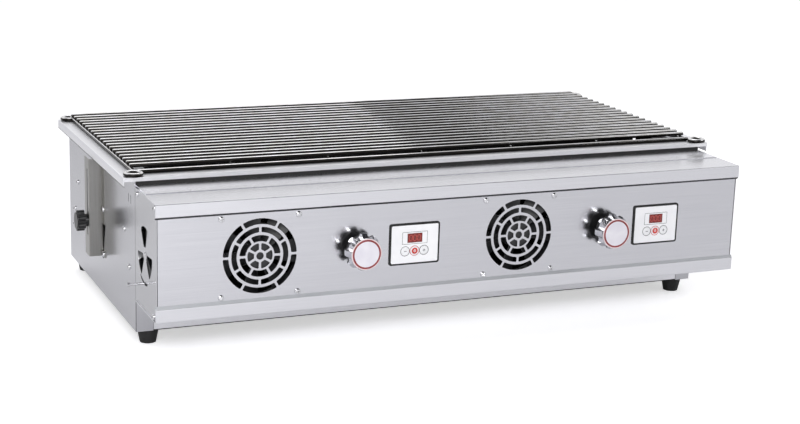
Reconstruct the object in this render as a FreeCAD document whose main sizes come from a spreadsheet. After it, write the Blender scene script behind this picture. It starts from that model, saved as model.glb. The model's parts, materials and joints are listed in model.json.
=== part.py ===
import FreeCAD, Part
import math
import os
from types import SimpleNamespace

import Sketcher
from FreeCAD import Placement, Rotation, Vector

# Table-top smokeless gas grill: a flat steel body with a grate on top, a drip tray drawer below, two gas
# burners on a carriage that two clamp knobs hold at a height, and a control console along the front.
# Frame: +Z up, +X along the front from left to right, +Y from front to back, origin at the middle of the
# floor under the object, millimetres.

# Driving dimensions, in millimetres and degrees
SIZES = {
    # body
    "body_length": 866,
    "body_depth": 398.5,
    "sheet": 1.2,
    "bend_radius": 1.1,
    "seam": 0.3,
    "foot_height": 20,
    "foot_top_radius": 15,
    "foot_tip_radius": 11,
    "foot_inset_side": 20.8,
    "foot_inset_front": 17.6,
    "corner_flange": 24,
    "rear_flange": 15,
    "rim_rise": 212.8,
    "rim_overhang_side": 15,
    "rim_overhang_rear": 6,
    "rim_drop_front": 6,
    "seal_setback": 0.2,
    "rim_drop_side": 13.1,
    "rim_shelf": 25,
    "rim_inner_lip": 10,
    # console
    "console_depth": 106.4,
    "console_height": 156.5,
    "console_rise": 44.5,
    "lip_proud": 3,
    "upper_lip": 17,
    "lower_lip": 18,
    "upper_step": 3.4,
    "lower_step": 4,
    "panel_gap": 0.8,
    "cover_overhang": 1.5,
    "splash_reach": 50.9,
    # control modules on the front panel
    "module_pitch": 376,
    "module_rise": 78.5,
    "vent_offset": 138.3,
    "knob_offset": 274.3,
    "regulator_offset": 356.5,
    # vent grille
    "vent_hub": 5,
    "ring_first_inner": 8.3,
    "ring_first_outer": 17.2,
    "ring_second_inner": 19.7,
    "ring_second_outer": 28,
    "ring_third_inner": 31.8,
    "ring_third_outer": 38.9,
    "ring_fourth_inner": 42.7,
    "ring_fourth_outer": 50.5,
    "bridge": 3.2,
    "slot_corner": 1.5,
    # fans
    "fan_side": 120,
    "fan_depth": 25,
    "fan_screw_inset": 7.5,
    "fan_duct_wall": 2,
    "fan_hub": 20,
    "fan_hub_wall": 1.5,
    "fan_axle": 1.5,
    "fan_bearing_wall": 2.5,
    "fan_bearing_length": 14,
    "fan_tip_gap": 1.2,
    "fan_cup": 3,
    "fan_rotor_play": 1.5,
    "strut_width": 5,
    "blade_thickness": 1.4,
    "blade_root_chord": 20,
    "blade_tip_chord": 33,
    "air_port_inset": 13,
    # screws
    "screw_shank": 2,
    "screw_head": 4,
    "screw_head_height": 2.4,
    "screw_length": 8,
    "side_screw_length": 5,
    "screw_gap": 0.1,
    "side_screw_front_high_setback": 60.2,
    "side_screw_front_high_rise": 83.5,
    "side_screw_front_low_setback": 34.4,
    "side_screw_front_low_rise": 37.1,
    "side_screw_rear_high_inset": 57.4,
    "side_screw_rear_high_rise": 84.1,
    "side_screw_rear_low_inset": 35.9,
    "side_screw_rear_low_rise": 38.7,
    "side_screw_rear_foot_inset": 32.1,
    "side_screw_rear_foot_rise": 14.2,
    "bracket_screw_high": 82.4,
    "bracket_screw_low": 17,
    "end_screw_rear_inset": 10,
    "end_screw_rear_drop": 8.3,
    "end_screw_front_setback": 8.8,
    "end_screw_front_drop": 6.1,
    "end_screw_low_setback": 13.9,
    "end_screw_low_rise": 5.5,
    # gas knobs, valves and pipes
    "knob_reach": 31,
    "knob_radius": 25,
    "knob_neck": 21.5,
    "knob_gap": 9,
    "knob_band": 6.5,
    "knob_collar": 6,
    "knob_edge": 1.5,
    "knob_flute": 5.5,
    "stem_radius": 4,
    "stem_reach": 22,
    "fit_gap": 0.05,
    "valve_width": 30,
    "valve_depth": 42,
    "valve_nose": 4,
    "valve_nose_wall": 5,
    "valve_spigot": 6,
    "manifold_radius": 10,
    "manifold_wall": 2,
    "manifold_setback": 75,
    "manifold_overrun": 25,
    "manifold_reach": 2,
    "lug_width": 16,
    "lug_height": 12,
    "lug_inset": 60,
    "inlet_nut_height": 8,
    "hose_tail_radius": 4.5,
    "hose_tail_length": 18,
    "hose_barb_radius": 6,
    "hose_barb_pitch": 5,
    "hose_bore": 3,
    "feed_radius": 4,
    "feed_bend": 14,
    "feed_rise": 27,
    "feed_reach": 18,
    # power regulators
    "regulator_width": 73.5,
    "regulator_height": 57.5,
    "regulator_bezel": 2,
    "regulator_border": 2.5,
    "regulator_depth": 21,
    "regulator_margin": 4,
    "regulator_corner": 3.2,
    "label_thickness": 0.6,
    "display_width": 21.8,
    "display_height": 13,
    "display_rise": 8.3,
    "button_radius": 6,
    "button_pitch": 13.8,
    "button_drop": 9.7,
    "button_travel": 0.8,
    "button_gap": 0.15,
    "button_proud": 0.5,
    "button_height": 5.5,
    # air shutter
    "shutter_setback": 58.2,
    "shutter_rise": 77.4,
    "shutter_disc": 44,
    "shutter_thickness": 1,
    "shutter_gap": 0.2,
    "petal_corner": 2,
    "petal_inner": 9,
    "petal_outer": 36,
    "petal_middle": 85,
    "petal_angle": 56,
    "shutter_turn": 20,
    "lever_slot_middle": -82,
    "lever_slot_half": 26,
    "lever_rest": -87,
    "lever_orbit": 40.5,
    "lever_radius": 1.5,
    "lever_reach": 23,
    "lever_head": 2.8,
    "lever_head_length": 3,
    "rivet_head": 4,
    # power inlet
    "inlet_setback": 38.2,
    "inlet_rise": 35.9,
    "inlet_width": 27.6,
    "inlet_height": 20.6,
    "inlet_flange_side": 6,
    "inlet_flange_thickness": 2.5,
    "inlet_depth": 18,
    "inlet_wall": 2.3,
    # height brackets and clamp knobs
    "bracket_setback": 181.3,
    "bracket_reach": 20,
    "bracket_flange": 25,
    "bracket_foot": 14,
    "bracket_start": 13,
    "bracket_end": 154.3,
    "bracket_relief_start": 22,
    "bracket_relief_end": 61,
    "side_slot_lead": 3,
    "side_slot_width": 11,
    "side_slot_start": 9,
    "side_slot_end": 146,
    "hook_slit_setback": 22.9,
    "hook_slit_pitch": 12.4,
    "hook_slit_width": 2,
    "hook_slit_start": 127,
    "hook_slit_end": 139,
    "clamp_setback": 190.3,
    "clamp_rise": 64.5,
    "clamp_radius": 15,
    "clamp_depth": 17,
    "clamp_boss": 5,
    "clamp_gap": 0.3,
    "clamp_stud": 3,
    "clamp_stud_reach": 6.5,
    "slot_start": 43,
    "slot_end": 139.5,
    # burners and carriage
    "carriage_floor": 24,
    "carriage_side": 5,
    "carriage_front": 108,
    "carriage_rear": 290,
    "rail_width": 30,
    "rail_wall": 12,
    "lug_half_height": 10,
    "lug_thickness": 2,
    "lug_play": 1.3,
    "nut_plate": 14,
    "burner_gap": 41,
    "burner_width": 152,
    "burner_height": 35,
    "tile_border": 10,
    "tile_ledge": 4,
    "tile_joint": 1,
    "tile_thickness": 13,
    "mixing_tube": 11,
    "mixing_tube_wall": 1.5,
    "mixing_tube_rise": 15,
    "mixing_tube_length": 40,
    "bell_radius": 14,
    "bell_length": 8,
    "tube_clearance": 2,
    "shield_rise": 18,
    "shield_lift": 6,
    "shield_inset": 6,
    "shield_leg": 20,
    "electrode_offset": 60,
    "electrode_radius": 4,
    "electrode_wire": 1.2,
    # drip tray
    "tray_rear_gap": 25,
    "tray_wall": 1,
    "tray_height": 36,
    "tray_side_gap": 5,
    "tray_hem": 4,
    "tray_play": 0.3,
    "tray_front_gap": 0.5,
    "tray_front_drop": 2,
    "tray_front_hem": 5,
    "runner_play": 1,
    "runner_foot": 12,
    "runner_height": 20,
    "runner_rear_gap": 30,
    # grate
    "rod_radius": 3,
    "bar_inset": 32.5,
    "bar_inset_rear": 14.2,
    "bar_overrun": 2,
    "cross_first": 4,
    "cross_end_inset": 14,
    "frame_rod_inset": 20,
    "frame_rod_step": 8,
    "weld_sink": 0.4,
    "ear_radius": 10.5,
    "ear_overhang": 8.6,
}
BAR_COUNT = 20
CROSS_BAR_COUNT = 7
SCALLOPS = 8
BLADES = 7
TILES = 4

DOC = FreeCAD.newDocument("grill")
SHEET = DOC.addObject("Spreadsheet::Sheet", "Sizes")
for row, (name, number) in enumerate(SIZES.items(), start=1):
    SHEET.set(f"A{row}", name.replace("_", " "))
    SHEET.set(f"B{row}", str(number))
    SHEET.setAlias(f"B{row}", name)
DOC.recompute()


class Size:
    """A length with its number and the sheet formula that it comes from."""

    def __init__(self, value, text):
        self.value = value
        self.text = text

    def __add__(self, other):
        other = as_size(other)
        return Size(self.value + other.value, f"({self.text} + {other.text})")

    def __sub__(self, other):
        other = as_size(other)
        return Size(self.value - other.value, f"({self.text} - {other.text})")

    def __mul__(self, factor):
        factor = as_size(factor)
        return Size(self.value * factor.value, f"({self.text} * {factor.text})")

    def __truediv__(self, factor):
        factor = as_size(factor)
        return Size(self.value / factor.value, f"({self.text} / {factor.text})")

    def __radd__(self, other):
        return as_size(other) + self

    def __rsub__(self, other):
        return as_size(other) - self

    def __rmul__(self, factor):
        return as_size(factor) * self

    def __neg__(self):
        return Size(-self.value, f"(-{self.text})")


def as_size(number):
    if isinstance(number, Size):
        return number
    return Size(float(number), repr(float(number)))


S = SimpleNamespace(**{name: Size(float(SHEET.get(name)), f"Sizes.{name}") for name in SIZES})

# Planes that several pieces share
LEFT = -S.body_length / 2
RIGHT = S.body_length / 2
REAR_EXTREME = S.console_depth + S.body_depth + S.ear_overhang
LIP = (S.knob_reach - REAR_EXTREME) / 2
PANEL = LIP + S.lip_proud
SEAM = LIP + S.console_depth
FRONT = SEAM + S.seam
REAR = LIP + S.console_depth + S.body_depth
BOTTOM = S.foot_height
DECK = S.foot_height + S.sheet
CONSOLE_FLOOR = S.foot_height + S.console_rise
CONSOLE_TOP = CONSOLE_FLOOR + S.console_height
RIM_TOP = S.foot_height + S.rim_rise
WALL_TOP = RIM_TOP - S.sheet
MODULE_Z = CONSOLE_FLOOR + S.module_rise
ROD_LOW_Z = RIM_TOP + S.rod_radius
ROD_HIGH_Z = ROD_LOW_Z + S.rod_radius * 2 - S.weld_sink
FAN_FRONT = PANEL + S.sheet
FAN_BORE = S.fan_side / 2 - S.fan_duct_wall
FAN_SCREW = S.fan_side / 2 - S.fan_screw_inset
FEED_Z = MODULE_Z + S.feed_rise + S.feed_bend
SLOT_FRONT = FRONT + S.bracket_setback - S.side_slot_lead
CARRIAGE_FLOOR = CONSOLE_FLOOR + S.carriage_floor
RAIL_TOP = CARRIAGE_FLOOR + S.sheet
BURNER_TOP = RAIL_TOP + S.burner_height
BURNER_Y = FRONT + (S.carriage_front + S.carriage_rear) / 2
BURNER_LENGTH = S.body_length / 2 - S.burner_gap
BURNER_X = S.body_length / 4
TILE_LENGTH = (BURNER_LENGTH - S.tile_border * 2) / TILES

DIRECTIONS = {
    "+x": Vector(1, 0, 0),
    "-x": Vector(-1, 0, 0),
    "+y": Vector(0, 1, 0),
    "-y": Vector(0, -1, 0),
    "+z": Vector(0, 0, 1),
    "-z": Vector(0, 0, -1),
}
NODES = []


def bind(piece, prop, amount):
    piece.setExpression(prop, as_size(amount).text)


def place(piece, corner):
    for axis, amount in zip("xyz", corner):
        bind(piece, f"Placement.Base.{axis}", amount)
    return piece


def add(kind, name, **sizes):
    piece = DOC.addObject(kind, name)
    for prop, amount in sizes.items():
        bind(piece, prop, amount)
    return piece


def box(name, low, high):
    """A block between two corners."""
    low = [as_size(amount) for amount in low]
    high = [as_size(amount) for amount in high]
    piece = add("Part::Box", name, Length=high[0] - low[0], Width=high[1] - low[1], Height=high[2] - low[2])
    return place(piece, low)


def box_on_side(name, sign, x_span, y_span, z_span):
    """A block on the left side, or for sign -1 its mirror on the right."""
    low_x, high_x = x_span if sign > 0 else (-x_span[1], -x_span[0])
    return box(name, (low_x, y_span[0], z_span[0]), (high_x, y_span[1], z_span[1]))


def rounded(name, base, radius, *directions):
    """The base with its edges along these directions rounded."""
    DOC.recompute()
    edges = []
    for index, edge in enumerate(base.Shape.Edges, start=1):
        run = edge.tangentAt(edge.FirstParameter)
        if any(abs(run.dot(DIRECTIONS[direction])) > 0.999 for direction in directions):
            edges.append((index, radius.value, radius.value))
    fillet = DOC.addObject("Part::Fillet", name)
    fillet.Base = base
    fillet.Edges = edges
    return fillet


def aimed(piece, direction, start):
    piece.Placement = Placement(Vector(), Rotation(Vector(0, 0, 1), DIRECTIONS[direction]))
    return place(piece, start)


def rod(name, start, direction, radius, length):
    """A round bar from a point along an axis."""
    return aimed(add("Part::Cylinder", name, Radius=radius, Height=length), direction, start)


def cone(name, start, direction, first, last, length):
    return aimed(add("Part::Cone", name, Radius1=first, Radius2=last, Height=length), direction, start)


def join(name, pieces, refine=True):
    whole = DOC.addObject("Part::MultiFuse", name)
    whole.Shapes = pieces
    whole.Refine = refine
    return whole


def cut(name, base, tools):
    """The base without all of the tools."""
    whole = DOC.addObject("Part::Cut", name)
    whole.Base = base
    whole.Tool = tools[0] if len(tools) == 1 else join(name + "_openings", tools)
    whole.Refine = True
    return whole


def group(name, pieces):
    """Equal pieces that share one node as separate solids."""
    whole = DOC.addObject("Part::Compound", name)
    whole.Links = pieces
    return whole


def mirrored(name, source):
    """The same piece on the other side of the middle plane."""
    whole = DOC.addObject("Part::Mirroring", name)
    whole.Source = source
    whole.Normal = Vector(1, 0, 0)
    return whole


def node(label, piece):
    """Name a finished piece and keep it for the files."""
    piece.Label = label
    NODES.append(piece)
    return piece


def origin_plane(body, role):
    return next(feature for feature in body.Origin.OriginFeatures if feature.Role == role)


def new_sketch(body, name, plane):
    sketch = body.newObject("Sketcher::SketchObject", name)
    sketch.AttachmentSupport = (origin_plane(body, plane), [""])
    sketch.MapMode = "FlatFace"
    return sketch


def hold(sketch, amount, kind, *where):
    """Add a driving constraint and tie it to the sheet."""
    index = sketch.addConstraint(Sketcher.Constraint(kind, *where, as_size(amount).value))
    sketch.setExpression(f"Constraints[{index}]", as_size(amount).text)


def hold_point(sketch, geometry, end, point):
    """Pin one end or centre to a place in the sketch."""
    for kind, axis, amount in (("DistanceX", -2, point[0]), ("DistanceY", -1, point[1])):
        if as_size(amount).value == 0:
            sketch.addConstraint(Sketcher.Constraint("PointOnObject", geometry, end, axis))
        else:
            hold(sketch, amount, kind, -1, 1, geometry, end)


def draw_outline(sketch, points):
    """A closed outline of straight sides through points of the sketch plane."""
    spots = [Vector(as_size(across).value, as_size(up).value, 0) for across, up in points]
    first = len(sketch.Geometry)
    count = len(points)
    for index in range(count):
        sketch.addGeometry(Part.LineSegment(spots[index], spots[(index + 1) % count]))
    for index in range(count):
        following = first + (index + 1) % count
        sketch.addConstraint(Sketcher.Constraint("Coincident", first + index, 2, following, 1))
    for index, point in enumerate(points):
        hold_point(sketch, first + index, 1, point)


def draw_circle(sketch, centre, radius):
    spot = Vector(as_size(centre[0]).value, as_size(centre[1]).value, 0)
    index = sketch.addGeometry(Part.Circle(spot, Vector(0, 0, 1), as_size(radius).value))
    hold(sketch, radius, "Radius", index)
    hold_point(sketch, index, 3, centre)


def draw_sector(sketch, inner, outer, middle, half_angle, end_gap, corner):
    """A piece of a ring round the sketch's origin: ends set off two radial lines, corners rounded."""
    inner_radius, outer_radius = as_size(inner).value, as_size(outer).value
    gap, bend = as_size(end_gap).value, as_size(corner).value

    def spot(along, off, side):
        turn = math.radians(middle + side * half_angle)
        return Vector(along * math.cos(turn) + side * off * math.sin(turn),
                      along * math.sin(turn) - side * off * math.cos(turn), 0)

    def arc(centre, radius, start, end):
        circle = Part.Circle(centre, Vector(0, 0, 1), radius)
        return Part.ArcOfCircle(circle, math.atan2(start.y - centre.y, start.x - centre.x),
                                math.atan2(end.y - centre.y, end.x - centre.x))

    # Where each corner's arc has its middle, meets the ring's arc and meets the straight end
    outer_along = math.sqrt((outer_radius - bend) ** 2 - (gap + bend) ** 2)
    inner_along = math.sqrt((inner_radius + bend) ** 2 - (gap + bend) ** 2)
    middles, on_arc, on_end = {}, {}, {}
    for ring, along, radius in (("outer", outer_along, outer_radius), ("inner", inner_along, inner_radius)):
        for side in (-1, 1):
            middles[ring, side] = spot(along, gap + bend, side)
            on_arc[ring, side] = middles[ring, side] * (radius / middles[ring, side].Length)
            on_end[ring, side] = spot(along, gap, side)

    first = len(sketch.Geometry)
    centre = Vector()
    sketch.addGeometry(arc(centre, outer_radius, on_arc["outer", -1], on_arc["outer", 1]))
    sketch.addGeometry(arc(middles["outer", 1], bend, on_arc["outer", 1], on_end["outer", 1]))
    sketch.addGeometry(Part.LineSegment(on_end["outer", 1], on_end["inner", 1]))
    sketch.addGeometry(arc(middles["inner", 1], bend, on_end["inner", 1], on_arc["inner", 1]))
    sketch.addGeometry(arc(centre, inner_radius, on_arc["inner", -1], on_arc["inner", 1]))
    sketch.addGeometry(arc(middles["inner", -1], bend, on_arc["inner", -1], on_end["inner", -1]))
    sketch.addGeometry(Part.LineSegment(on_end["inner", -1], on_end["outer", -1]))
    sketch.addGeometry(arc(middles["outer", -1], bend, on_end["outer", -1], on_arc["outer", -1]))
    outer_arc, corner_1, end_line, corner_2 = range(first, first + 4)
    inner_arc, corner_3, start_line, corner_4 = range(first + 4, first + 8)
    for where in ((outer_arc, 2, corner_1, 1), (corner_1, 2, end_line, 1), (end_line, 2, corner_2, 1),
                  (corner_2, 2, inner_arc, 2), (inner_arc, 1, corner_3, 1), (corner_3, 2, start_line, 1),
                  (start_line, 2, corner_4, 1), (corner_4, 2, outer_arc, 1)):
        sketch.addConstraint(Sketcher.Constraint("Tangent", *where))
    for whole_arc, radius in ((outer_arc, outer), (inner_arc, inner)):
        sketch.addConstraint(Sketcher.Constraint("Coincident", whole_arc, 3, -1, 1))
        hold(sketch, radius, "Radius", whole_arc)
    for small_arc in (corner_1, corner_2, corner_3, corner_4):
        hold(sketch, corner, "Radius", small_arc)
    for line, turn in ((end_line, middle + half_angle + 180), (start_line, middle - half_angle)):
        turn = (turn + 180) % 360 - 180
        sketch.addConstraint(Sketcher.Constraint("Angle", line, math.radians(turn)))
        if gap:
            hold(sketch, end_gap, "Distance", -1, 1, line)
        else:
            sketch.addConstraint(Sketcher.Constraint("PointOnObject", -1, 1, line))


def new_body(name, corner):
    return place(DOC.addObject("PartDesign::Body", name), corner)


def pad(body, sketch, length, reverse=False):
    feature = body.newObject("PartDesign::Pad", sketch.Name + "_pad")
    feature.Profile = sketch
    feature.Reversed = reverse
    bind(feature, "Length", length)
    return feature


def pocket(body, sketch, reverse=False):
    """Cut a sketch right through the body."""
    feature = body.newObject("PartDesign::Pocket", sketch.Name + "_pocket")
    feature.Profile = sketch
    feature.Type = "ThroughAll"
    feature.Reversed = reverse
    return feature


def outer_bends(points):
    """The outline's points that are the outside of a bend between two runs longer than the sheet is thick."""
    spots = [Vector(as_size(across).value, as_size(up).value, 0) for across, up in points]
    count = len(spots)
    area = sum(spots[index - 1].cross(spots[index]).z for index in range(count))
    for index in range(count):
        arriving = spots[index] - spots[index - 1]
        leaving = spots[(index + 1) % count] - spots[index]
        outside = arriving.cross(leaving).z * area > 0
        if outside and min(arriving.Length, leaving.Length) > S.sheet.value * 2:
            yield spots[index]


def folded(name, plane, points, length, corner, reverse=False):
    """A sheet folded to an outline and as long as stated, the outside of its bends rounded."""
    body = new_body(name, corner)
    sketch = new_sketch(body, name + "_section", plane)
    draw_outline(sketch, points)
    run = pad(body, sketch, length, reverse)
    DOC.recompute()
    bends = list(outer_bends(points))
    edges = []
    for index, edge in enumerate(run.Shape.Edges, start=1):
        ends = [vertex.Point for vertex in edge.Vertexes]
        if plane == "YZ_Plane":
            ends = [Vector(end.y, end.z, 0) for end in ends]
        else:
            ends = [Vector(end.x, end.y, 0) for end in ends]
        along = len(ends) == 2 and ends[0].distanceToPoint(ends[1]) < S.seam.value / 10
        if along and any(ends[0].distanceToPoint(bend) < S.seam.value / 10 for bend in bends):
            edges.append(f"Edge{index}")
    if edges:
        rounding = body.newObject("PartDesign::Fillet", name + "_bends")
        rounding.Base = (run, edges)
        bind(rounding, "Radius", S.bend_radius)
    return body


def turned(name, points, corner):
    """A piece turned about the Y axis from a half section of radius and depth."""
    body = new_body(name, corner)
    sketch = new_sketch(body, name + "_section", "XY_Plane")
    draw_outline(sketch, points)
    feature = body.newObject("PartDesign::Revolution", name + "_turned")
    feature.Profile = sketch
    feature.ReferenceAxis = (sketch, ["V_Axis"])
    feature.Angle = 360
    return body


def screw(name, spot, direction, length):
    """A pan-head screw whose head sits on the face at the spot and looks in the direction."""
    inwards = {"+": "-", "-": "+"}[direction[0]] + direction[1]
    head = cone(name + "_head", spot, direction, S.screw_head, S.screw_head * 0.7, S.screw_head_height)
    shank = rod(name + "_shank", spot, inwards, S.screw_shank, length)
    return join(name, [head, shank])


def module_x(index, offset):
    """Where a part of a control module lies along the console."""
    return LEFT + offset + S.module_pitch * index


SIDES = ("left", "right")
SCREW_HOLE = S.screw_shank + S.screw_gap

# Where the screws sit on the left side: their Y and Z
SIDE_SCREWS = (
    (FRONT + S.side_screw_front_high_setback, CONSOLE_FLOOR + S.side_screw_front_high_rise),
    (FRONT + S.side_screw_front_low_setback, CONSOLE_FLOOR + S.side_screw_front_low_rise),
    (REAR - S.side_screw_rear_high_inset, CONSOLE_FLOOR + S.side_screw_rear_high_rise),
    (REAR - S.side_screw_rear_low_inset, CONSOLE_FLOOR + S.side_screw_rear_low_rise),
    (REAR - S.side_screw_rear_foot_inset, CONSOLE_FLOOR + S.side_screw_rear_foot_rise),
)
BRACKET_SCREW_Y = FRONT + S.bracket_setback - S.bracket_foot / 2
BRACKET_SCREWS = (
    (BRACKET_SCREW_Y, CONSOLE_FLOOR + S.bracket_screw_high),
    (BRACKET_SCREW_Y, CONSOLE_FLOOR + S.bracket_screw_low),
)
END_SCREWS = (
    (SEAM - S.end_screw_rear_inset, CONSOLE_TOP - S.end_screw_rear_drop),
    (LIP + S.end_screw_front_setback, CONSOLE_TOP - S.end_screw_front_drop),
    (LIP + S.end_screw_low_setback, CONSOLE_FLOOR + S.end_screw_low_rise),
)


def four_corners(x, z, half):
    """The corners of an upright square, counted from the lower left."""
    for across, up in ((-1, -1), (1, -1), (1, 1), (-1, 1)):
        yield x + half * across, z + half * up


def side_panels():
    """Each side is a channel: the wall with a front and a rear flange turned in."""
    depth = REAR - FRONT
    outline = [
        (0, 0),
        (S.corner_flange, 0),
        (S.corner_flange, S.sheet),
        (S.sheet, S.sheet),
        (S.sheet, depth - S.sheet),
        (S.rear_flange, depth - S.sheet),
        (S.rear_flange, depth),
        (0, depth),
    ]
    wall = folded("side_wall", "XY_Plane", outline, WALL_TOP - BOTTOM, (LEFT, FRONT, BOTTOM))
    outside = LEFT - 1
    inside = LEFT + S.sheet + 1
    openings = [
        box("rim_notch", (outside, FRONT - 1, CONSOLE_TOP),
            (LEFT + S.corner_flange + 1, FRONT + S.sheet, RIM_TOP)),
        box("height_slot", (outside, SLOT_FRONT, CONSOLE_FLOOR + S.side_slot_start),
            (inside, SLOT_FRONT + S.side_slot_width, CONSOLE_FLOOR + S.side_slot_end)),
    ]
    for index in range(2):
        slit = FRONT + S.hook_slit_setback + S.hook_slit_pitch * index - S.hook_slit_width / 2
        openings.append(box(f"hook_slit_{index}", (outside, slit, CONSOLE_FLOOR + S.hook_slit_start),
                            (inside, slit + S.hook_slit_width, CONSOLE_FLOOR + S.hook_slit_end)))
    for index, (y, z) in enumerate(SIDE_SCREWS + BRACKET_SCREWS):
        openings.append(rod(f"side_screw_hole_{index}", (outside, y, z), "+x", SCREW_HOLE, S.sheet + 2))
    left = node("left_side_panel", cut("left_side", wall, openings))
    node("right_side_panel", mirrored("right_side", left))


def body_walls():
    inner_left = LEFT + S.sheet
    inner_right = RIGHT - S.sheet
    node("rear_panel", box("rear_wall", (inner_left, REAR - S.sheet * 2, BOTTOM),
                           (inner_right, REAR - S.sheet, WALL_TOP)))
    deck = box("deck", (inner_left, FRONT + S.sheet, BOTTOM), (inner_right, REAR - S.sheet * 2, DECK))
    holes = [rod(f"foot_hole_{index}", (x, y, BOTTOM - 1), "+z", SCREW_HOLE, S.sheet + 2)
             for index, (x, y) in enumerate(foot_places())]
    node("bottom_panel", cut("bottom", deck, holes))
    wall = box("front_wall", (inner_left, FRONT + S.sheet, CONSOLE_FLOOR),
               (inner_right, FRONT + S.sheet * 2, CONSOLE_TOP))
    openings = []
    for index in range(2):
        openings.append(rod(f"air_port_{index}", (module_x(index, S.vent_offset), FRONT, MODULE_Z), "+y",
                            FAN_BORE - S.air_port_inset, S.sheet * 4))
        openings.append(rod(f"feed_hole_{index}", (module_x(index, S.knob_offset), FRONT, FEED_Z), "+y",
                            S.feed_radius + 1, S.sheet * 4))
    node("inner_front_wall", cut("inner_front", wall, openings))
    reach = S.splash_reach
    plate = [
        (0, 0),
        (reach + S.sheet, 0),
        (reach + S.sheet, WALL_TOP - CONSOLE_TOP),
        (reach, WALL_TOP - CONSOLE_TOP),
        (reach, S.sheet),
        (0, S.sheet),
    ]
    splash_front = FRONT + S.sheet - reach
    node("splash_plate", folded("splash", "YZ_Plane", plate, inner_right - inner_left,
                                (inner_left, splash_front, CONSOLE_TOP)))
    node("rim_front_seal", box("seal_strip", (inner_left, FRONT + S.seal_setback, CONSOLE_TOP + S.sheet),
                               (inner_right, FRONT + S.sheet, RIM_TOP - S.rim_drop_front)))


def foot_places():
    for x in (LEFT + S.foot_inset_side, RIGHT - S.foot_inset_side):
        for y in (SEAM + S.foot_inset_front, REAR - S.foot_inset_front):
            yield x, y


def feet():
    """Tapered rubber feet, narrow end on the floor."""
    pads = []
    for index, (x, y) in enumerate(foot_places()):
        pads.append(cone(f"foot_{index}", (x, y, 0), "+z", S.foot_tip_radius, S.foot_top_radius,
                         S.foot_height))
    node("rubber_feet", group("feet", pads))


def rim_frame():
    """A shelf all round the top, its outer edge turned down and its inner edge turned down as a stiffener."""
    left = LEFT - S.rim_overhang_side
    right = RIGHT + S.rim_overhang_side
    rear = REAR + S.rim_overhang_rear
    side_bottom = RIM_TOP - S.rim_drop_side
    block = box("rim_block", (left, FRONT, side_bottom), (right, rear, RIM_TOP))
    lid = rounded("rim_block_rounded", block, S.bend_radius, "+x", "+y")
    skirt = box("rim_skirt", (left, FRONT, side_bottom), (right, rear, RIM_TOP - S.bend_radius))
    lid = join("rim_lid", [lid, skirt])
    under = box("rim_under", (left + S.sheet, FRONT + S.sheet, side_bottom - 1),
                (right - S.sheet, rear - S.sheet, WALL_TOP))
    front_gap = box("rim_front_gap", (left - 1, FRONT - 1, side_bottom - 1),
                    (right + 1, FRONT + S.sheet, RIM_TOP - S.rim_drop_front))
    inner_low = (LEFT + S.rim_shelf, SEAM + S.rim_shelf, side_bottom - 1)
    inner_high = (RIGHT - S.rim_shelf, REAR - S.rim_shelf, RIM_TOP + 1)
    shelf = cut("rim_shelf", lid, [under, front_gap, box("rim_opening", inner_low, inner_high)])
    lip_outer = box("inner_lip_outer",
                    (inner_low[0] - S.sheet, inner_low[1] - S.sheet, RIM_TOP - S.rim_inner_lip),
                    (inner_high[0] + S.sheet, inner_high[1] + S.sheet, WALL_TOP))
    lip_hole = box("inner_lip_hole", (inner_low[0], inner_low[1], side_bottom - 1), inner_high)
    lip = cut("rim_inner_lip", lip_outer, [lip_hole])
    node("rim_frame", join("rim", [shelf, lip]))


def console_shell():
    """Top and bottom covers are folded so that their lips stand proud of the panel between them."""
    left = LEFT - S.cover_overhang
    length = S.body_length + S.cover_overhang * 2

    def section(lip, step):
        """The cover that lies on the floor, with its lip up and sloping back to the panel."""
        top = lip + step
        return [
            (0, 0),
            (S.console_depth, 0),
            (S.console_depth, S.sheet),
            (S.sheet, S.sheet),
            (S.sheet, lip - S.sheet / 2),
            (S.lip_proud, top - S.sheet * 1.5),
            (S.lip_proud, top),
            (0, lip),
        ]

    low = section(S.lower_lip, S.lower_step)
    high = [(across, S.console_height - up) for across, up in reversed(section(S.upper_lip, S.upper_step))]
    corner = (left, LIP, CONSOLE_FLOOR)
    node("console_bottom_cover", folded("bottom_cover", "YZ_Plane", low, length, corner))
    node("console_top_cover", folded("top_cover", "YZ_Plane", high, length, corner))


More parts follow.
